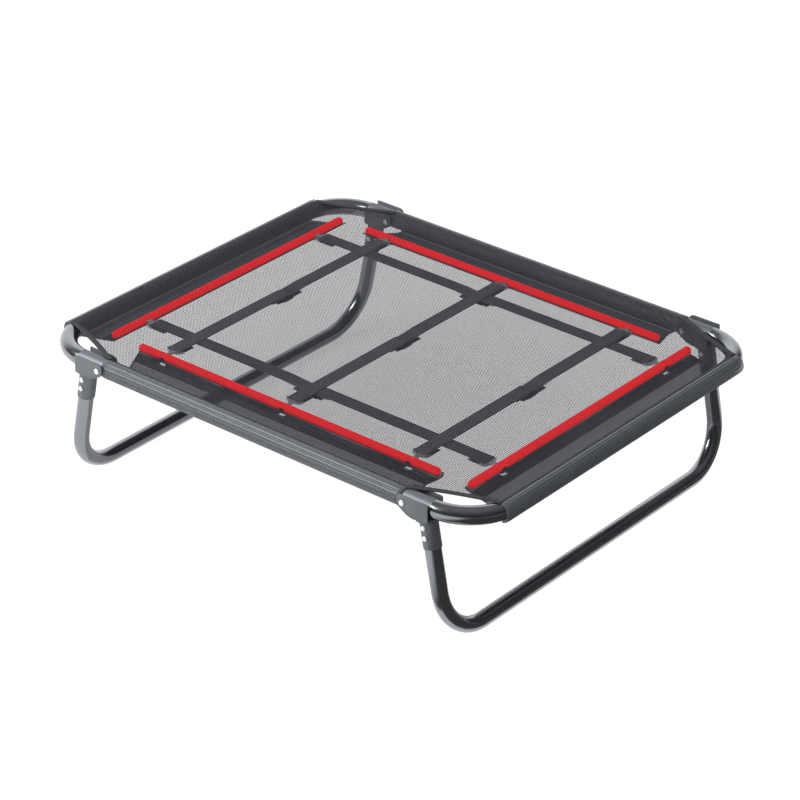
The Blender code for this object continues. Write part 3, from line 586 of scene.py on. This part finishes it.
def roundedPath(corners, radius, steps):
    path = [corners[0]]
    for before, corner, after in zip(corners, corners[1:], corners[2:]):
        back, on = (before - corner).normalized(), (after - corner).normalized()
        half = back.angle(on) / 2
        centre = corner + (back + on).normalized() * radius / math.sin(half)
        start = corner + back * radius / math.tan(half) - centre
        axis = back.cross(on).normalized()
        for i in range(steps + 1):
            path.append(centre + Matrix.Rotation(-(math.pi - 2 * half) * i / steps, 3, axis) @ start)
    path.append(corners[-1])
    return path


def sweep(bm, path, section, across, scales=None, layer=None):
    # Draws a closed section along a flat path. Section points are (along across, along the path's
    # own normal), and the layer takes how far along and across the cloth each point lies.
    rings, run, before = [], 0.0, None
    across = Vector(across).normalized()
    for i, point in enumerate(path):
        here = Vector(point)
        ahead = Vector(path[min(i + 1, len(path) - 1)]) - Vector(path[max(i - 1, 0)])
        normal = ahead.normalized().cross(across).normalized()
        run += (here - before).length if before else 0
        before = here
        scale = scales[i] if scales else 1
        ring = []
        for a, b in section:
            vert = bm.verts.new(here + across * a * scale + normal * b * scale)
            if layer:
                vert[layer] = Vector((run, a, 0))
            ring.append(vert)
        rings.append(ring)
    count = len(section)
    for first, second in zip(rings, rings[1:]):
        for i in range(count):
            j = (i + 1) % count
            bm.faces.new((first[i], first[j], second[j], second[i]))
    bm.faces.new(rings[0])
    bm.faces.new(list(reversed(rings[-1])))


def circle(radius, sides):
    return [(radius * math.cos(2 * math.pi * i / sides), radius * math.sin(2 * math.pi * i / sides)) for i in range(sides)]


def turnedMesh(name, profile, steps):
    # A profile of (along Y, radius) turned round the Y axis.
    bm = bmesh.new()
    rings = []
    for y, radius in profile:
        if radius < 1e-7:
            rings.append([bm.verts.new((0, y, 0))])
            continue
        rings.append([
            bm.verts.new((radius * math.cos(2 * math.pi * i / steps), y, radius * math.sin(2 * math.pi * i / steps)))
            for i in range(steps)
        ])
    for first, second in zip(rings, rings[1:]):
        for i in range(steps):
            j = (i + 1) % steps
            corners = [first[i % len(first)], first[j % len(first)], second[j % len(second)], second[i % len(second)]]
            bm.faces.new(list(dict.fromkeys(corners)))
    return meshFrom(name, bm, 40)


stitch = {"length": 3.0 * mm, "gap": 1.4 * mm, "thread": 0.75 * mm}


def stitchRow(bm, start, end, up, v=stitch):
    # A row of raised stitches from start to end, lying on a surface that faces up.
    start, end, up = Vector(start), Vector(end), Vector(up).normalized()
    along = end - start
    count = max(1, int(along.length / (v["length"] + v["gap"])))
    step = along / count
    forward = along.normalized()
    turn = Matrix((forward, up.cross(forward), up)).transposed().to_4x4()
    size = Matrix.Diagonal((v["length"] / 2, v["thread"] / 2, v["thread"] / 2, 1))
    for i in range(count):
        place = Matrix.Translation(start + step * (i + 0.5)) @ turn @ size
        bmesh.ops.create_icosphere(bm, subdivisions=1, radius=1, matrix=place)


def softenedCopy(node, bevel, segments=2, angle=30, whole=True):
    # The CAD solid again, its flat faces made whole and its edges broken by a small bevel.
    name = pieceName(node)
    bm = bmesh.new()
    bm.from_mesh(frame["nodes"][node].data)
    bmesh.ops.remove_doubles(bm, verts=bm.verts, dist=0.002 * mm)
    if whole:
        bmesh.ops.dissolve_limit(bm, angle_limit=math.radians(1), verts=bm.verts, edges=bm.edges)
    mesh = meshFrom(name, bm, 40)
    mesh.materials.clear()
    return mesh, {"width": bevel, "segments": segments, "limit": math.radians(angle)}


def addBevel(piece, v):
    step = piece.modifiers.new("brokenEdges", "BEVEL")
    step.width = v["width"]
    step.segments = v["segments"]
    step.limit_method = "ANGLE"
    step.angle_limit = v["limit"]
    step.harden_normals = True
    return piece


# ---- ring ----
ring = {
    "length": 780 * mm,
    "width": 632 * mm,
    "height": 200 * mm,
    "tube": 25 * mm,
    "bend": 72.5 * mm,
    "spigot": 40 * mm,
    "taper": 4 * mm,
    "spigotScale": 0.88,
    "sides": 48,
    "bendSteps": 16,
}
gap = 0.3 * mm
cloth = 1.1 * mm
tubeRadius = ring["tube"] / 2
ringX = ring["length"] / 2 - tubeRadius
ringY = ring["width"] / 2 - tubeRadius
centreHeight = Matrix.Translation((0, 0, ring["height"]))
halfTurn = Matrix.Rotation(math.pi, 4, "Z")


def makeRing(v):
    corners = [
        Vector((v["taper"], -ringY, 0)),
        Vector((ringX, -ringY, 0)),
        Vector((ringX, ringY, 0)),
        Vector((gap, ringY, 0)),
    ]
    neck = [Vector((-v["spigot"], -ringY, 0)), Vector((0, -ringY, 0))]
    path = neck + roundedPath(corners, v["bend"], v["bendSteps"])
    scales = [v["spigotScale"]] * 2 + [1] * (len(path) - 2)
    for side, turn in (("right", Matrix()), ("left", halfTurn)):
        bm = bmesh.new()
        sweep(bm, path, circle(tubeRadius, v["sides"]), (0, 0, 1), scales)
        mesh = moved(meshFrom(f"frameTube{side.capitalize()}", bm), centreHeight @ turn)
        addPiece(mesh.name, mesh, ringPaint, node=f"frame_tube_{side}")


makeRing(ring)
print("ring ready")


# ---- legs, brackets and rivets ----
leg = {
    "pivotInset": 123 * mm,
    "tube": 22 * mm,
    "bend": 71 * mm,
    "splay": 11,
    "pivotToLeg": 27.0 * mm,
    "top": 18.5 * mm,
    "collar": 12.4 * mm,
    "sides": 48,
    "bendSteps": 16,
}
rivet = {
    "pivotShank": 6 * mm,
    "pivotHead": 8.5 * mm,
    "pivotSeat": 16.0 * mm,
    "legShank": 4 * mm,
    "legHead": 7.5 * mm,
    "legSeat": 12.7 * mm,
    "fromTop": 9.5 * mm,
    "pitch": 14.5 * mm,
    "headHeight": 2.2 * mm,
    "steps": 32,
}
pivotX = ring["length"] / 2 - leg["pivotInset"]
splaySin, splayCos = math.sin(math.radians(leg["splay"])), math.cos(math.radians(leg["splay"]))
legRadius = leg["tube"] / 2
webUnder = -(tubeRadius + gap + 1.5 * mm)
legTop = (gap - webUnder + legRadius * splaySin) / splayCos
legDrop = (ring["height"] - legRadius) / splayCos


def legPoint(along, across=0.0):
    crossing = leg["pivotToLeg"] / splayCos
    return crossing + along * splaySin + across * splayCos, -along * splayCos + across * splaySin


def rivetProfile(shank, head, seat, v):
    radius, low = head / 2, 0.35 * mm
    dome = [
        (-seat - low - (v["headHeight"] - low) * math.cos(t), radius * math.sin(t))
        for t in (math.radians(a) for a in (0, 15, 30, 45, 60, 75, 90))
    ]
    dome[0] = (dome[0][0], 0)
    profile = dome + [(-seat, radius), (-seat, shank / 2)]
    return profile + [(-y, r) for y, r in reversed(profile)]


def makeLegs(v, r):
    topX, topZ = legPoint(legTop)
    lowX, lowZ = legPoint(legDrop)
    corners = [
        Vector((topX, -ringY, topZ)),
        Vector((lowX, -ringY, lowZ)),
        Vector((lowX, ringY, lowZ)),
        Vector((topX, ringY, topZ)),
    ]
    path = roundedPath(corners, v["bend"], v["bendSteps"])
    down = (corners[1] - corners[0]).normalized()
    across = down.cross(Vector((0, 1, 0)))
    for side, sign, turn in (("right", 1, Matrix()), ("left", -1, halfTurn)):
        place = Matrix.Translation((sign * pivotX, 0, ring["height"])) @ turn
        bm = bmesh.new()
        sweep(bm, path, circle(legRadius, v["sides"]), across)
        tube = moved(meshFrom(f"leg{side.capitalize()}", bm), place)
        addPiece(tube.name, tube, paintedSteel, node=f"leg_{side}")
        for end, toward in (("front", -1), ("back", 1)):
            node = f"hinge_bracket_{end}_{side}"
            mesh, bevel = softenedCopy(node, 0.18 * mm, whole=False)
            addBevel(addPiece(mesh.name, mesh, bracketSteel, node=node), bevel)
            at = place @ Matrix.Translation((0, sign * toward * ringY, 0))
            node = f"pivot_rivet_{end}_{side}"
            profile = rivetProfile(r["pivotShank"], r["pivotHead"], r["pivotSeat"], r)
            mesh = moved(turnedMesh(pieceName(node), profile, r["steps"]), at)
            addPiece(mesh.name, mesh, rivetMetal, node=node)
            for word, along in (("upper", legTop + r["fromTop"]), ("lower", legTop + r["fromTop"] + r["pitch"])):
                x, z = legPoint(along)
                node = f"leg_rivet_{word}_{end}_{side}"
                profile = rivetProfile(r["legShank"], r["legHead"], r["legSeat"], r)
                mesh = moved(turnedMesh(pieceName(node), profile, r["steps"]), at @ Matrix.Translation((x, 0, z)))
                addPiece(mesh.name, mesh, rivetMetal, node=node)


makeLegs(leg, rivet)
print("legs ready")


# ---- cover: mesh sheet ----
cover = {
    "x": coverReach[0],
    "y": coverReach[1],
    "cornerBow": 3 * mm,
    "pitch": weavePitch,
    "thread": 1.14 * mm,
    "thick": 0.30 * mm,
    "bindingWidth": 8 * mm,
    "bindingThick": 1.7 * mm,
    "bindingSteps": 20,
}
sheetX, sheetY = ringX - gap, ringY - gap
sheetLevel = ring["height"] + tubeRadius + gap + cloth / 2


def cornerEdge(t, v):
    # The cut across a corner, bowed in a little, from the long side (t = 0) to the end (t = 1).
    start, end = Vector((v["x"], sheetY)), Vector((sheetX, v["y"]))
    inward = Vector((-(sheetY - v["y"]), -(sheetX - v["x"]))).normalized()
    return start.lerp(end, t) + inward * v["cornerBow"] * 4 * t * (1 - t)


def cornerSlices(v):
    return [cornerEdge(i / v["bindingSteps"], v) for i in range(v["bindingSteps"] + 1)]


def reachAt(place, axis, slices):
    # How far the sheet reaches along the other axis at this distance from the middle.
    place = abs(place)
    limit = (sheetX, sheetY)[1 - axis]
    for first, second in zip(slices, slices[1:]):
        low, high = sorted((first[axis], second[axis]))
        if low <= place <= high and high > low:
            share = (place - first[axis]) / (second[axis] - first[axis])
            return first[1 - axis] + (second[1 - axis] - first[1 - axis]) * share
    return limit


def addThread(bm, axis, middle, level, v, slices):
    # One flat thread, six-sided in section, that runs the whole way across the sheet.
    half, thick = v["thread"] / 2, v["thick"] / 2
    section = [(-half, 0), (-half / 2, thick), (half / 2, thick), (half, 0), (half / 2, -thick), (-half / 2, -thick)]
    rings = []
    for sign in (-1, 1):
        row = []
        for a, b in section:
            side = middle + a
            far = sign * reachAt(side, axis, slices)
            spot = (side, far, level + b) if axis == 0 else (far, side, level + b)
            row.append(bm.verts.new(spot))
        rings.append(row)
    for i in range(6):
        j = (i + 1) % 6
        bm.faces.new((rings[0][i], rings[0][j], rings[1][j], rings[1][i]))
    bm.faces.new(rings[0])
    bm.faces.new(list(reversed(rings[1])))


def makeSheet(v):
    slices = cornerSlices(v)
    bm = bmesh.new()
    for axis, span, lift in ((0, sheetX, 1), (1, sheetY, -1)):
        count = int((span - v["thread"]) / v["pitch"])
        for i in range(-count, count + 1):
            addThread(bm, axis, i * v["pitch"], sheetLevel + lift * v["thick"] * 0.4, v, slices)
    mesh = meshFrom("coverSheet", bm, 70)
    sheet = addPiece("coverSheet", mesh, meshThread, node="cover_sheet")

    wide, thick = v["bindingWidth"], v["bindingThick"]
    for word, signX, signY in (("FrontLeft", -1, -1), ("FrontRight", 1, -1), ("BackLeft", -1, 1), ("BackRight", 1, 1)):
        bm = bmesh.new()
        layer = bm.verts.layers.float_vector.new("weaveAt")
        path = [Vector((signX * p.x, signY * p.y, sheetLevel)) for p in slices]
        middle = Vector((signX * (v["x"] + sheetX) / 2, signY * (sheetY + v["y"]) / 2, 0))
        inward = (-middle).normalized()
        path = [p + Vector((inward.x, inward.y, 0)) * (wide / 2 - 0.6 * mm) for p in path]
        rim = thick / 2
        section = [(-wide / 2 + rim, -rim), (wide / 2 - rim, -rim)]
        section += [(wide / 2 - rim + rim * math.cos(a), rim * math.sin(a)) for a in (-0.8, 0, 0.8)]
        section += [(wide / 2 - rim, rim), (-wide / 2 + rim, rim)]
        section += [(-wide / 2 + rim - rim * math.cos(a), -rim * math.sin(a)) for a in (-0.8, 0, 0.8)]
        sweepFlat(bm, path, section, layer)
        for side in (0.28,):
            for a, b in zip(path[1:], path[2:-1]):
                along = (b - a).normalized()
                out = along.cross(Vector((0, 0, 1)))
                if out.dot(middle) > 0:
                    out = -out
                for up in (-1, 1):
                    lift = Vector((0, 0, up * (rim + 0.1 * mm)))
                    stitchRow(bm, a + out * wide * side + lift, b + out * wide * side + lift, (0, 0, up))
        mesh = meshFrom(f"coverBinding{word}", bm, 50)
        mesh.materials.append(bindingTape)
        addPiece(mesh.name, mesh, bindingTape, body="frame")


def sweepFlat(bm, path, section, layer):
    # A section drawn along a path that lies flat: its width stays level.
    rings, run, before = [], 0.0, None
    for i, here in enumerate(path):
        ahead = (path[min(i + 1, len(path) - 1)] - path[max(i - 1, 0)]).normalized()
        side = ahead.cross(Vector((0, 0, 1))).normalized()
        run += (here - before).length if before else 0
        before = here
        ring = []
        for a, b in section:
            vert = bm.verts.new(here + side * a + Vector((0, 0, b)))
            vert[layer] = Vector((run, a, 0))
            ring.append(vert)
        rings.append(ring)
    count = len(section)
    for first, second in zip(rings, rings[1:]):
        for i in range(count):
            j = (i + 1) % count
            bm.faces.new((first[i], first[j], second[j], second[i]))
    bm.faces.new(rings[0])
    bm.faces.new(list(reversed(rings[-1])))


makeSheet(cover)
print("sheet ready")


# ---- cover: wraps, hems and rods ----
wrap = {
    "ribPitch": 4.2 * mm,
    "ribHeight": 0.34 * mm,
    "flapRib": 0.10 * mm,
    "pointsPerRib": 6,
    "thick": 0.6 * mm,
    "endHem": 7 * mm,
    "flapBack": 20.5 * mm,
    "tipPast": 3 * mm,
    "sideFlapInset": 15 * mm,
    "cheekClear": 16.9 * mm,
    "hemWidth": 21 * mm,
    "rimAngle": -20,
    "slitHalf": 4.5 * mm,
    "slitReach": 6.4 * mm,
    "hemNotch": 10.5 * mm,
}
rod = {
    "radius": 6 * mm,
    "insideTube": 65 * mm,
    "underSheet": 0.5 * mm,
    "endGap": 2 * mm,
    "sides": 32,
}
rodX, rodY = ringX - rod["insideTube"], ringY - rod["insideTube"]
rodLevel = tubeRadius + gap - rod["underSheet"] - rod["radius"]
wrapRadius = tubeRadius + gap + cloth / 2
strapRoute = {"outerToRod": 96.5 * mm, "longToRod": 61.5 * mm}
outerStrapX = rodX - strapRoute["outerToRod"]
longStrapY = rodY - strapRoute["longToRod"]


def resampled(points, step):
    # Points at even steps along a polyline, its corners kept.
    path = [Vector(points[0])]
    for a, b in zip(points, points[1:]):
        a, b = Vector(a), Vector(b)
        count = max(1, round((b - a).length / step))
        path += [a.lerp(b, i / count) for i in range(1, count + 1)]
    return path


def wrapProfile(v):
    # Rows of (x, z, run, outward normal, rib height) across the cloth. Local X runs inward from
    # the tube's axis and Z up from it: round the tube, up the flap and under the rod.
    fine = v["ribPitch"] / v["pointsPerRib"]
    cradle = rod["radius"] + gap + cloth / 2
    flat = tubeRadius / 2
    toRod = Vector((rod["insideTube"] - flat, rodLevel + wrapRadius))
    slope = math.atan2(toRod.y, toRod.x) - math.asin(cradle / toRod.length)
    turnSteps = round(math.pi * wrapRadius / fine)
    points = arcPoints((0, 0), wrapRadius, math.pi / 2, 1.5 * math.pi, turnSteps)
    edges = [(flat, -wrapRadius)]
    rodArc = arcPoints((rod["insideTube"], rodLevel), cradle, slope - math.pi / 2, math.radians(v["rimAngle"]), 8)
    points += [tuple(p) for p in resampled([points[-1], *edges, rodArc[0]], fine)[1:]] + rodArc[1:]
    rows, run = [], 0.0
    for i, (x, z) in enumerate(points):
        before, after = points[max(i - 1, 0)], points[min(i + 1, len(points) - 1)]
        along = Vector((after[0] - before[0], after[1] - before[1])).normalized()
        outward = Vector((-along.y, along.x))
        if i:
            run += math.dist(points[i - 1], (x, z))
        height = v["ribHeight"] if i <= turnSteps else v["flapRib"] if x < rod["insideTube"] - 8 * mm else 0
        rows.append((x, z, run, -outward, -height * math.cos(2 * math.pi * run / v["ribPitch"])))
    return rows


def halfAt(x, v, half, near, tip):
    # Half the wrap's length at this distance inside the tube: whole round the tube, cut back
    # beside the hinge, then slanting out to the rod's end.
    if x <= gap:
        return half
    if x <= v["cheekClear"]:
        return near
    share = min(1, (x - v["cheekClear"]) / (rod["insideTube"] - v["cheekClear"]))
    return near + (tip - near) * share


def wrapMesh(name, v, half, near, tip, straps):
    rows = wrapProfile(v)
    stations = []
    for at in straps:
        stations += [at - v["slitHalf"], at + v["slitHalf"]]
    bm = bmesh.new()
    layer = bm.verts.layers.float_vector.new("weaveAt")
    grid, below = [], True
    for x, z, run, outward, rib in rows:
        under = z < 0 or below and x < gap
        limit = halfAt(x, v, half, near, tip) if run > 1.5 * wrapRadius else half
        ends = [-limit, -limit + v["endHem"]]
        places = ends + stations + [-y for y in reversed(ends)]
        row = []
        for i, y in enumerate(places):
            flatEnd = i < 1 or i > len(places) - 2
            lift = 0 if flatEnd else rib
            vert = bm.verts.new((x + outward.x * lift, y, z + outward.y * lift))
            vert[layer] = Vector((y, run, 0))
            row.append(vert)
        grid.append((x, row))
    slitStart = rod["insideTube"] - v["slitReach"]
    for (x0, first), (x1, second) in zip(grid, grid[1:]):
        for i in range(len(first) - 1):
            # columns between a slit's two stations are open near the rod
            inSlit = i >= 2 and i <= len(first) - 4 and (i - 2) % 2 == 0
            if inSlit and max(x0, x1) > slitStart:
                continue
            bm.faces.new((first[i], first[i + 1], second[i + 1], second[i]))
    loose = [vert for vert in bm.verts if not vert.link_faces]
    bmesh.ops.delete(bm, geom=loose, context="VERTS")
    return meshFrom(name, bm, 60)


def hemPath(v):
    # The middle of the flap's cloth from the hem's seam to the rod, in local X and Z.
    rows = [(x, z) for x, z, run, outward, rib in wrapProfile(v)]
    seam = rod["insideTube"] - v["hemWidth"]
    return [p for p in rows if seam <= p[0] <= rod["insideTube"] - 3 * mm and p[1] < rodLevel]


def makeWraps(v, r):
    longNear, longTip = pivotX - v["flapBack"], cover["x"] + v["tipPast"]
    sideNear = cover["y"] - v["sideFlapInset"]
    cross, long = [-outerStrapX, 0, outerStrapX], [-longStrapY, longStrapY]
    sides = (
        ("front", 90, (0, -ringY), cover["x"], longNear, longTip, cross),
        ("back", -90, (0, ringY), cover["x"], longNear, longTip, cross),
        ("left", 0, (-ringX, 0), cover["y"], sideNear, sideNear, long),
        ("right", 180, (ringX, 0), cover["y"], sideNear, sideNear, long),
    )
    for side, turn, (x, y), half, near, tip, straps in sides:
        place = Matrix.Translation((x, y, ring["height"])) @ Matrix.Rotation(math.radians(turn), 4, "Z")
        word = side.capitalize()
        mesh = moved(wrapMesh(f"coverWrap{word}", v, half, near, tip, straps), place)
        piece = addPiece(mesh.name, mesh, coverCloth, node=f"cover_wrap_{side}")
        step = piece.modifiers.new("cloth", "SOLIDIFY")
        step.thickness = v["thick"]
        step.offset = 0
        step.use_even_offset = True

        # the hem's turned-in layer on top of the flap, with its seam
        path = hemPath(v)
        bm = bmesh.new()
        layer = bm.verts.layers.float_vector.new("weaveAt")
        lifted = []
        for a, b in zip(path, path[1:]):
            slope = Vector((b[0] - a[0], b[1] - a[1])).normalized()
            lifted.append(Vector(a) + Vector((-slope.y, slope.x)) * cloth * 0.95)
        notch = [i for i, point in enumerate(lifted) if point.x < rod["insideTube"] - v["hemNotch"]][-1]
        hemStrip(bm, layer, lifted[:notch + 1], 1.5 * mm - near, near - 1.5 * mm, v, near, tip)
        spans = [-near] + [s for at in straps for s in (at - v["slitHalf"], at + v["slitHalf"])] + [near]
        for start, end in zip(spans[::2], spans[1::2]):
            hemStrip(bm, layer, lifted[notch:], start + 1.5 * mm, end - 1.5 * mm, v, near, tip)
        seam = lifted[0] + (lifted[1] - lifted[0]).normalized() * 1.6 * mm
        up = Vector((-(lifted[1] - lifted[0]).y, 0, (lifted[1] - lifted[0]).x))
        rise = up.normalized() * 0.45 * cloth
        stitches = bmesh.new()
        stitchRow(stitches, (seam.x + rise.x, -near + 3 * mm, seam.y + rise.z), (seam.x + rise.x, near - 3 * mm, seam.y + rise.z), up)
        hem = moved(meshFrom(f"wrapHem{word}", bm, 50), place)
        hemPiece = addPiece(hem.name, hem, coverCloth, body="frame")
        step = hemPiece.modifiers.new("cloth", "SOLIDIFY")
        step.thickness = v["thick"]
        step.offset = 0

        # stitches round the ends of the wrap
        for sign in (-1, 1):
            turns = arcPoints((0, 0), wrapRadius + v["thick"] / 2 + 0.12 * mm, math.radians(95), math.radians(262), 16)
            for a, b in zip(turns, turns[1:]):
                yEnd = sign * (half - v["endHem"])
                stitchRow(stitches, (a[0], yEnd, a[1]), (b[0], yEnd, b[1]), (a[0] + b[0], 0, a[1] + b[1]))
        thread = moved(meshFrom(f"wrapStitches{word}", stitches, 80), place)
        threadPiece = addPiece(thread.name, thread, stitchThread, body="frame")
        rows = wrapProfile(v)

        # the rod: a round-ended bar in the hem
        length = tip - r["endGap"]
        bulge = [(-length + r["radius"] * (1 - math.cos(t)) * 0.7, r["radius"] * math.sin(t)) for t in (0, 0.35, 0.7, 1.05, 1.3, math.pi / 2)]
        bulge[0] = (-length, 0)
        profile = bulge + [(-y, radius) for y, radius in reversed(bulge)]
        at = place @ Matrix.Translation((r["insideTube"], 0, rodLevel))
        mesh = moved(turnedMesh(f"hemRod{word}", profile, r["sides"]), at)
        addPiece(mesh.name, mesh, rodPaintAndGlow, node=f"hem_rod_{side}")


def hemStrip(bm, layer, line, start, end, v, near, tip):
    rows = []
    for point in line:
        row = []
        for i in (0, 1):
            y = (start, end)[i]
            if abs(y) > near - 2 * mm:
                share = min(1, max(0, (point.x - v["cheekClear"]) / (rod["insideTube"] - v["cheekClear"])))
                y = math.copysign(near + (tip - near) * share - 1.5 * mm, y)
            vert = bm.verts.new((point.x, y, point.y))
            vert[layer] = Vector((y, point.x, 0))
            row.append(vert)
        rows.append(row)
    for first, second in zip(rows, rows[1:]):
        bm.faces.new((first[0], first[1], second[1], second[0]))


makeWraps(wrap, rod)
print("wraps and rods ready")


# ---- straps ----
strap = {
    "width": 22 * mm,
    "thick": 1.5 * mm,
    "underSheet": 0.75 * mm,
    "sewnTail": 22 * mm,
    "freeTail": 28 * mm,
    "slack": 0.35 * mm,
    "ribs": 9,
    "ribDepth": 0.10 * mm,
}
hook = {
    "plate": 2.4 * mm,
    "bar": 3 * mm,
    "slot": 3.4 * mm,
    "nose": 4.3 * mm,
    "reach": 12.5 * mm,
}
adjuster = {"plate": 3 * mm, "bar": 3 * mm, "slot": 4.2 * mm}
crossLevel = tubeRadius + gap - strap["underSheet"] - strap["thick"] / 2
longLevel = crossLevel - strap["thick"] - gap
hookSeat = hook["plate"] / 2 + strap["slack"] + strap["thick"] / 2
adjusterSeat = adjuster["plate"] / 2 + strap["slack"] + strap["thick"] / 2
adjusterDrop = adjusterSeat + strap["thick"] + strap["slack"]


def roundBar(left, right, halfThick, start, end, steps=6):
    distance = strap["slack"] + strap["thick"] / 2
    corners = (
        ((right, halfThick), 90, 0),
        ((right, -halfThick), 0, -90),
        ((left, -halfThick), -90, -180),
        ((left, halfThick), 180, 90),
    )
    path = []
    for centre, first, last in corners[start:end]:
        path += arcPoints(centre, distance, math.radians(first), math.radians(last), steps)
    return path


def webbingAtHook(rodAt, level):
    barStart = rodAt - (hook["reach"] + hook["nose"] + hook["slot"] + hook["bar"])
    turn = roundBar(barStart, barStart + hook["bar"], hook["plate"] / 2, 0, 2)
    plane = level - hookSeat
    return [(u, w + plane) for u, w in turn] + [(barStart - strap["sewnTail"], plane - hookSeat)]


def adjusterBars():
    rear = -(adjuster["bar"] * 1.5 + adjuster["slot"])
    middle = rear + adjuster["bar"] + adjuster["slot"]
    return rear, middle, middle + adjuster["bar"] + adjuster["slot"]


def fixedWebbing(rodAt, level):
    rear = adjusterBars()[0]
    plane = level - adjusterDrop
    turn = roundBar(rear, rear + adjuster["bar"], adjuster["plate"] / 2, 0, 2)
    atBar = [(rear - strap["sewnTail"], plane - adjusterSeat)] + [(u, w + plane) for u, w in reversed(turn)]
    atBar.append((rear - strap["sewnTail"] - strap["freeTail"], level))
    return atBar + [(-u, w) for u, w in webbingAtHook(rodAt, level)]


def pullWebbing(rodAt, level):
    middle, front = adjusterBars()[1:]
    plane = level - adjusterDrop
    side = strap["slack"] + strap["thick"] / 2
    upper = [
        (front + strap["freeTail"], adjusterDrop),
        (middle + adjuster["bar"] / 2, adjusterDrop),
        (middle - side / 2, adjusterDrop - strap["thick"] / 2),
        (middle - side, adjusterDrop - 2 * strap["thick"]),
    ]
    turn = roundBar(middle, middle + adjuster["bar"], adjuster["plate"] / 2, 3, 4)
    turn += roundBar(middle, middle + adjuster["bar"], adjuster["plate"] / 2, 0, 1)
    out = middle + adjuster["bar"] + side
    tail = [
        (out, adjuster["plate"] / 6),
        ((out + front) / 2, adjusterSeat - strap["slack"]),
        (front, adjusterSeat),
        (front + strap["freeTail"] - strap["thick"], adjusterSeat),
    ]
    path = [(u, w + plane) for u, w in upper + [(u, -w) for u, w in turn] + tail]
    return list(reversed(webbingAtHook(rodAt, level))) + path


def webbingSection(v):
    # Across the webbing: soft edges and shallow lengthwise ribs on both faces.
    half, thick = v["width"] / 2, v["thick"] / 2
    steps = v["ribs"] * 6
    inner = half - 0.5 * mm
    top = []
    for i in range(steps + 1):
        a = -inner + 2 * inner * i / steps
        top.append((a, thick - v["ribDepth"] * (0.5 + 0.5 * math.cos(2 * math.pi * v["ribs"] * i / steps))))
    return top + [(half, thick * 0.35), (half, -thick * 0.35)] + [(a, -b) for a, b in reversed(top)] + [(-half, -thick * 0.35), (-half, thick * 0.35)]


def addWebbing(node, path, place, boxes):
    bm = bmesh.new()
    layer = bm.verts.layers.float_vector.new("weaveAt")
    points = [Vector((u, 0, w)) for u, w in path]
    sweep(bm, points, webbingSection(strap), (0, 1, 0), layer=layer)
    mesh = moved(meshFrom(pieceName(node), bm, 60), place)
    piece = addPiece(mesh.name, mesh, webbingCloth, node=node)
    stitches = bmesh.new()
    half = strap["width"] / 2 - 3 * mm
    for low, high, level, up in boxes:
        level = level + up * (strap["thick"] / 2)
        corners = [(low, -half), (high, -half), (high, half), (low, half)]
        lines = list(zip(corners, corners[1:] + corners[:1])) + [(corners[0], corners[2]), (corners[1], corners[3])]
        for (x0, y0), (x1, y1) in lines:
            stitchRow(stitches, (x0, y0, level), (x1, y1, level), (0, 0, up))
    thread = moved(meshFrom(f"{pieceName(node)}Stitches", stitches, 80), place)
    threadPiece = addPiece(thread.name, thread, stitchThread, body=bodyOf(node))


def shadeHookTips(material):
    # Painted shade: past the rods the tips get a dark colour for the flaps' shade they lie in.
    tree = material.node_tree
    shader = tree.nodes["Principled BSDF"]
    hookTipShade = spanMask(tree, "GREATER_THAN", (rodX + 1 * mm, rodY + 1 * mm))
    metal = shader.inputs["Base Color"].links[0].from_socket
    tree.links.new(colourMix(tree, hookTipShade, metal, (0.07, 0.072, 0.08, 1)), shader.inputs["Base Color"])


def makeStraps(v):
    straps = [
        (f"cross_strap_{word}", -90, (x, 0), rodY, crossLevel, ("front", "back"))
        for word, x in zip(("left", "middle", "right"), (-outerStrapX, 0, outerStrapX))
    ]
    straps += [
        (f"long_strap_{word}", 0, (0, y), rodX, longLevel, ("right", "left"))
        for word, y in (("front", -longStrapY), ("back", longStrapY))
    ]
    barBack = hook["reach"] + hook["nose"] + hook["slot"] + hook["bar"]
    for name, turn, (x, y), rodAt, level, (pullEnd, fixedEnd) in straps:
        place = Matrix.Translation((x, y, ring["height"])) @ Matrix.Rotation(math.radians(turn), 4, "Z")
        hookEnd = rodAt - barBack - 4 * mm
        near = hookEnd - (v["sewnTail"] - 8 * mm)
        under = level - 2 * hookSeat
        rear = adjusterBars()[0] - 4 * mm
        rearLow = rear - (v["sewnTail"] - 8 * mm)
        pull = [(near, hookEnd, level, 1), (near, hookEnd, under, -1)]
        fixed = [(-hookEnd, -near, level, 1), (-hookEnd, -near, under, -1)]
        low = level - adjusterDrop - adjusterSeat
        fixed += [(rearLow, rear, low, -1)]
        for end, path, boxes in (
            (fixedEnd, fixedWebbing(rodAt, level), fixed),
            (pullEnd, pullWebbing(rodAt, level), pull),
        ):
            addWebbing(f"{name}_webbing_{end}", path, place, boxes)
        mesh, bevel = softenedCopy(f"{name}_adjuster", 0.4 * mm)
        addBevel(addPiece(mesh.name, mesh, adjusterPlastic, node=f"{name}_adjuster"), bevel)
        for end in (pullEnd, fixedEnd):
            node = f"{name}_hook_{end}"
            mesh, bevel = softenedCopy(node, 0.3 * mm)
            addBevel(addPiece(mesh.name, mesh, hookMetal, node=node), bevel)


shadeHookTips(hookMetal)
makeStraps(strap)
print("straps ready")
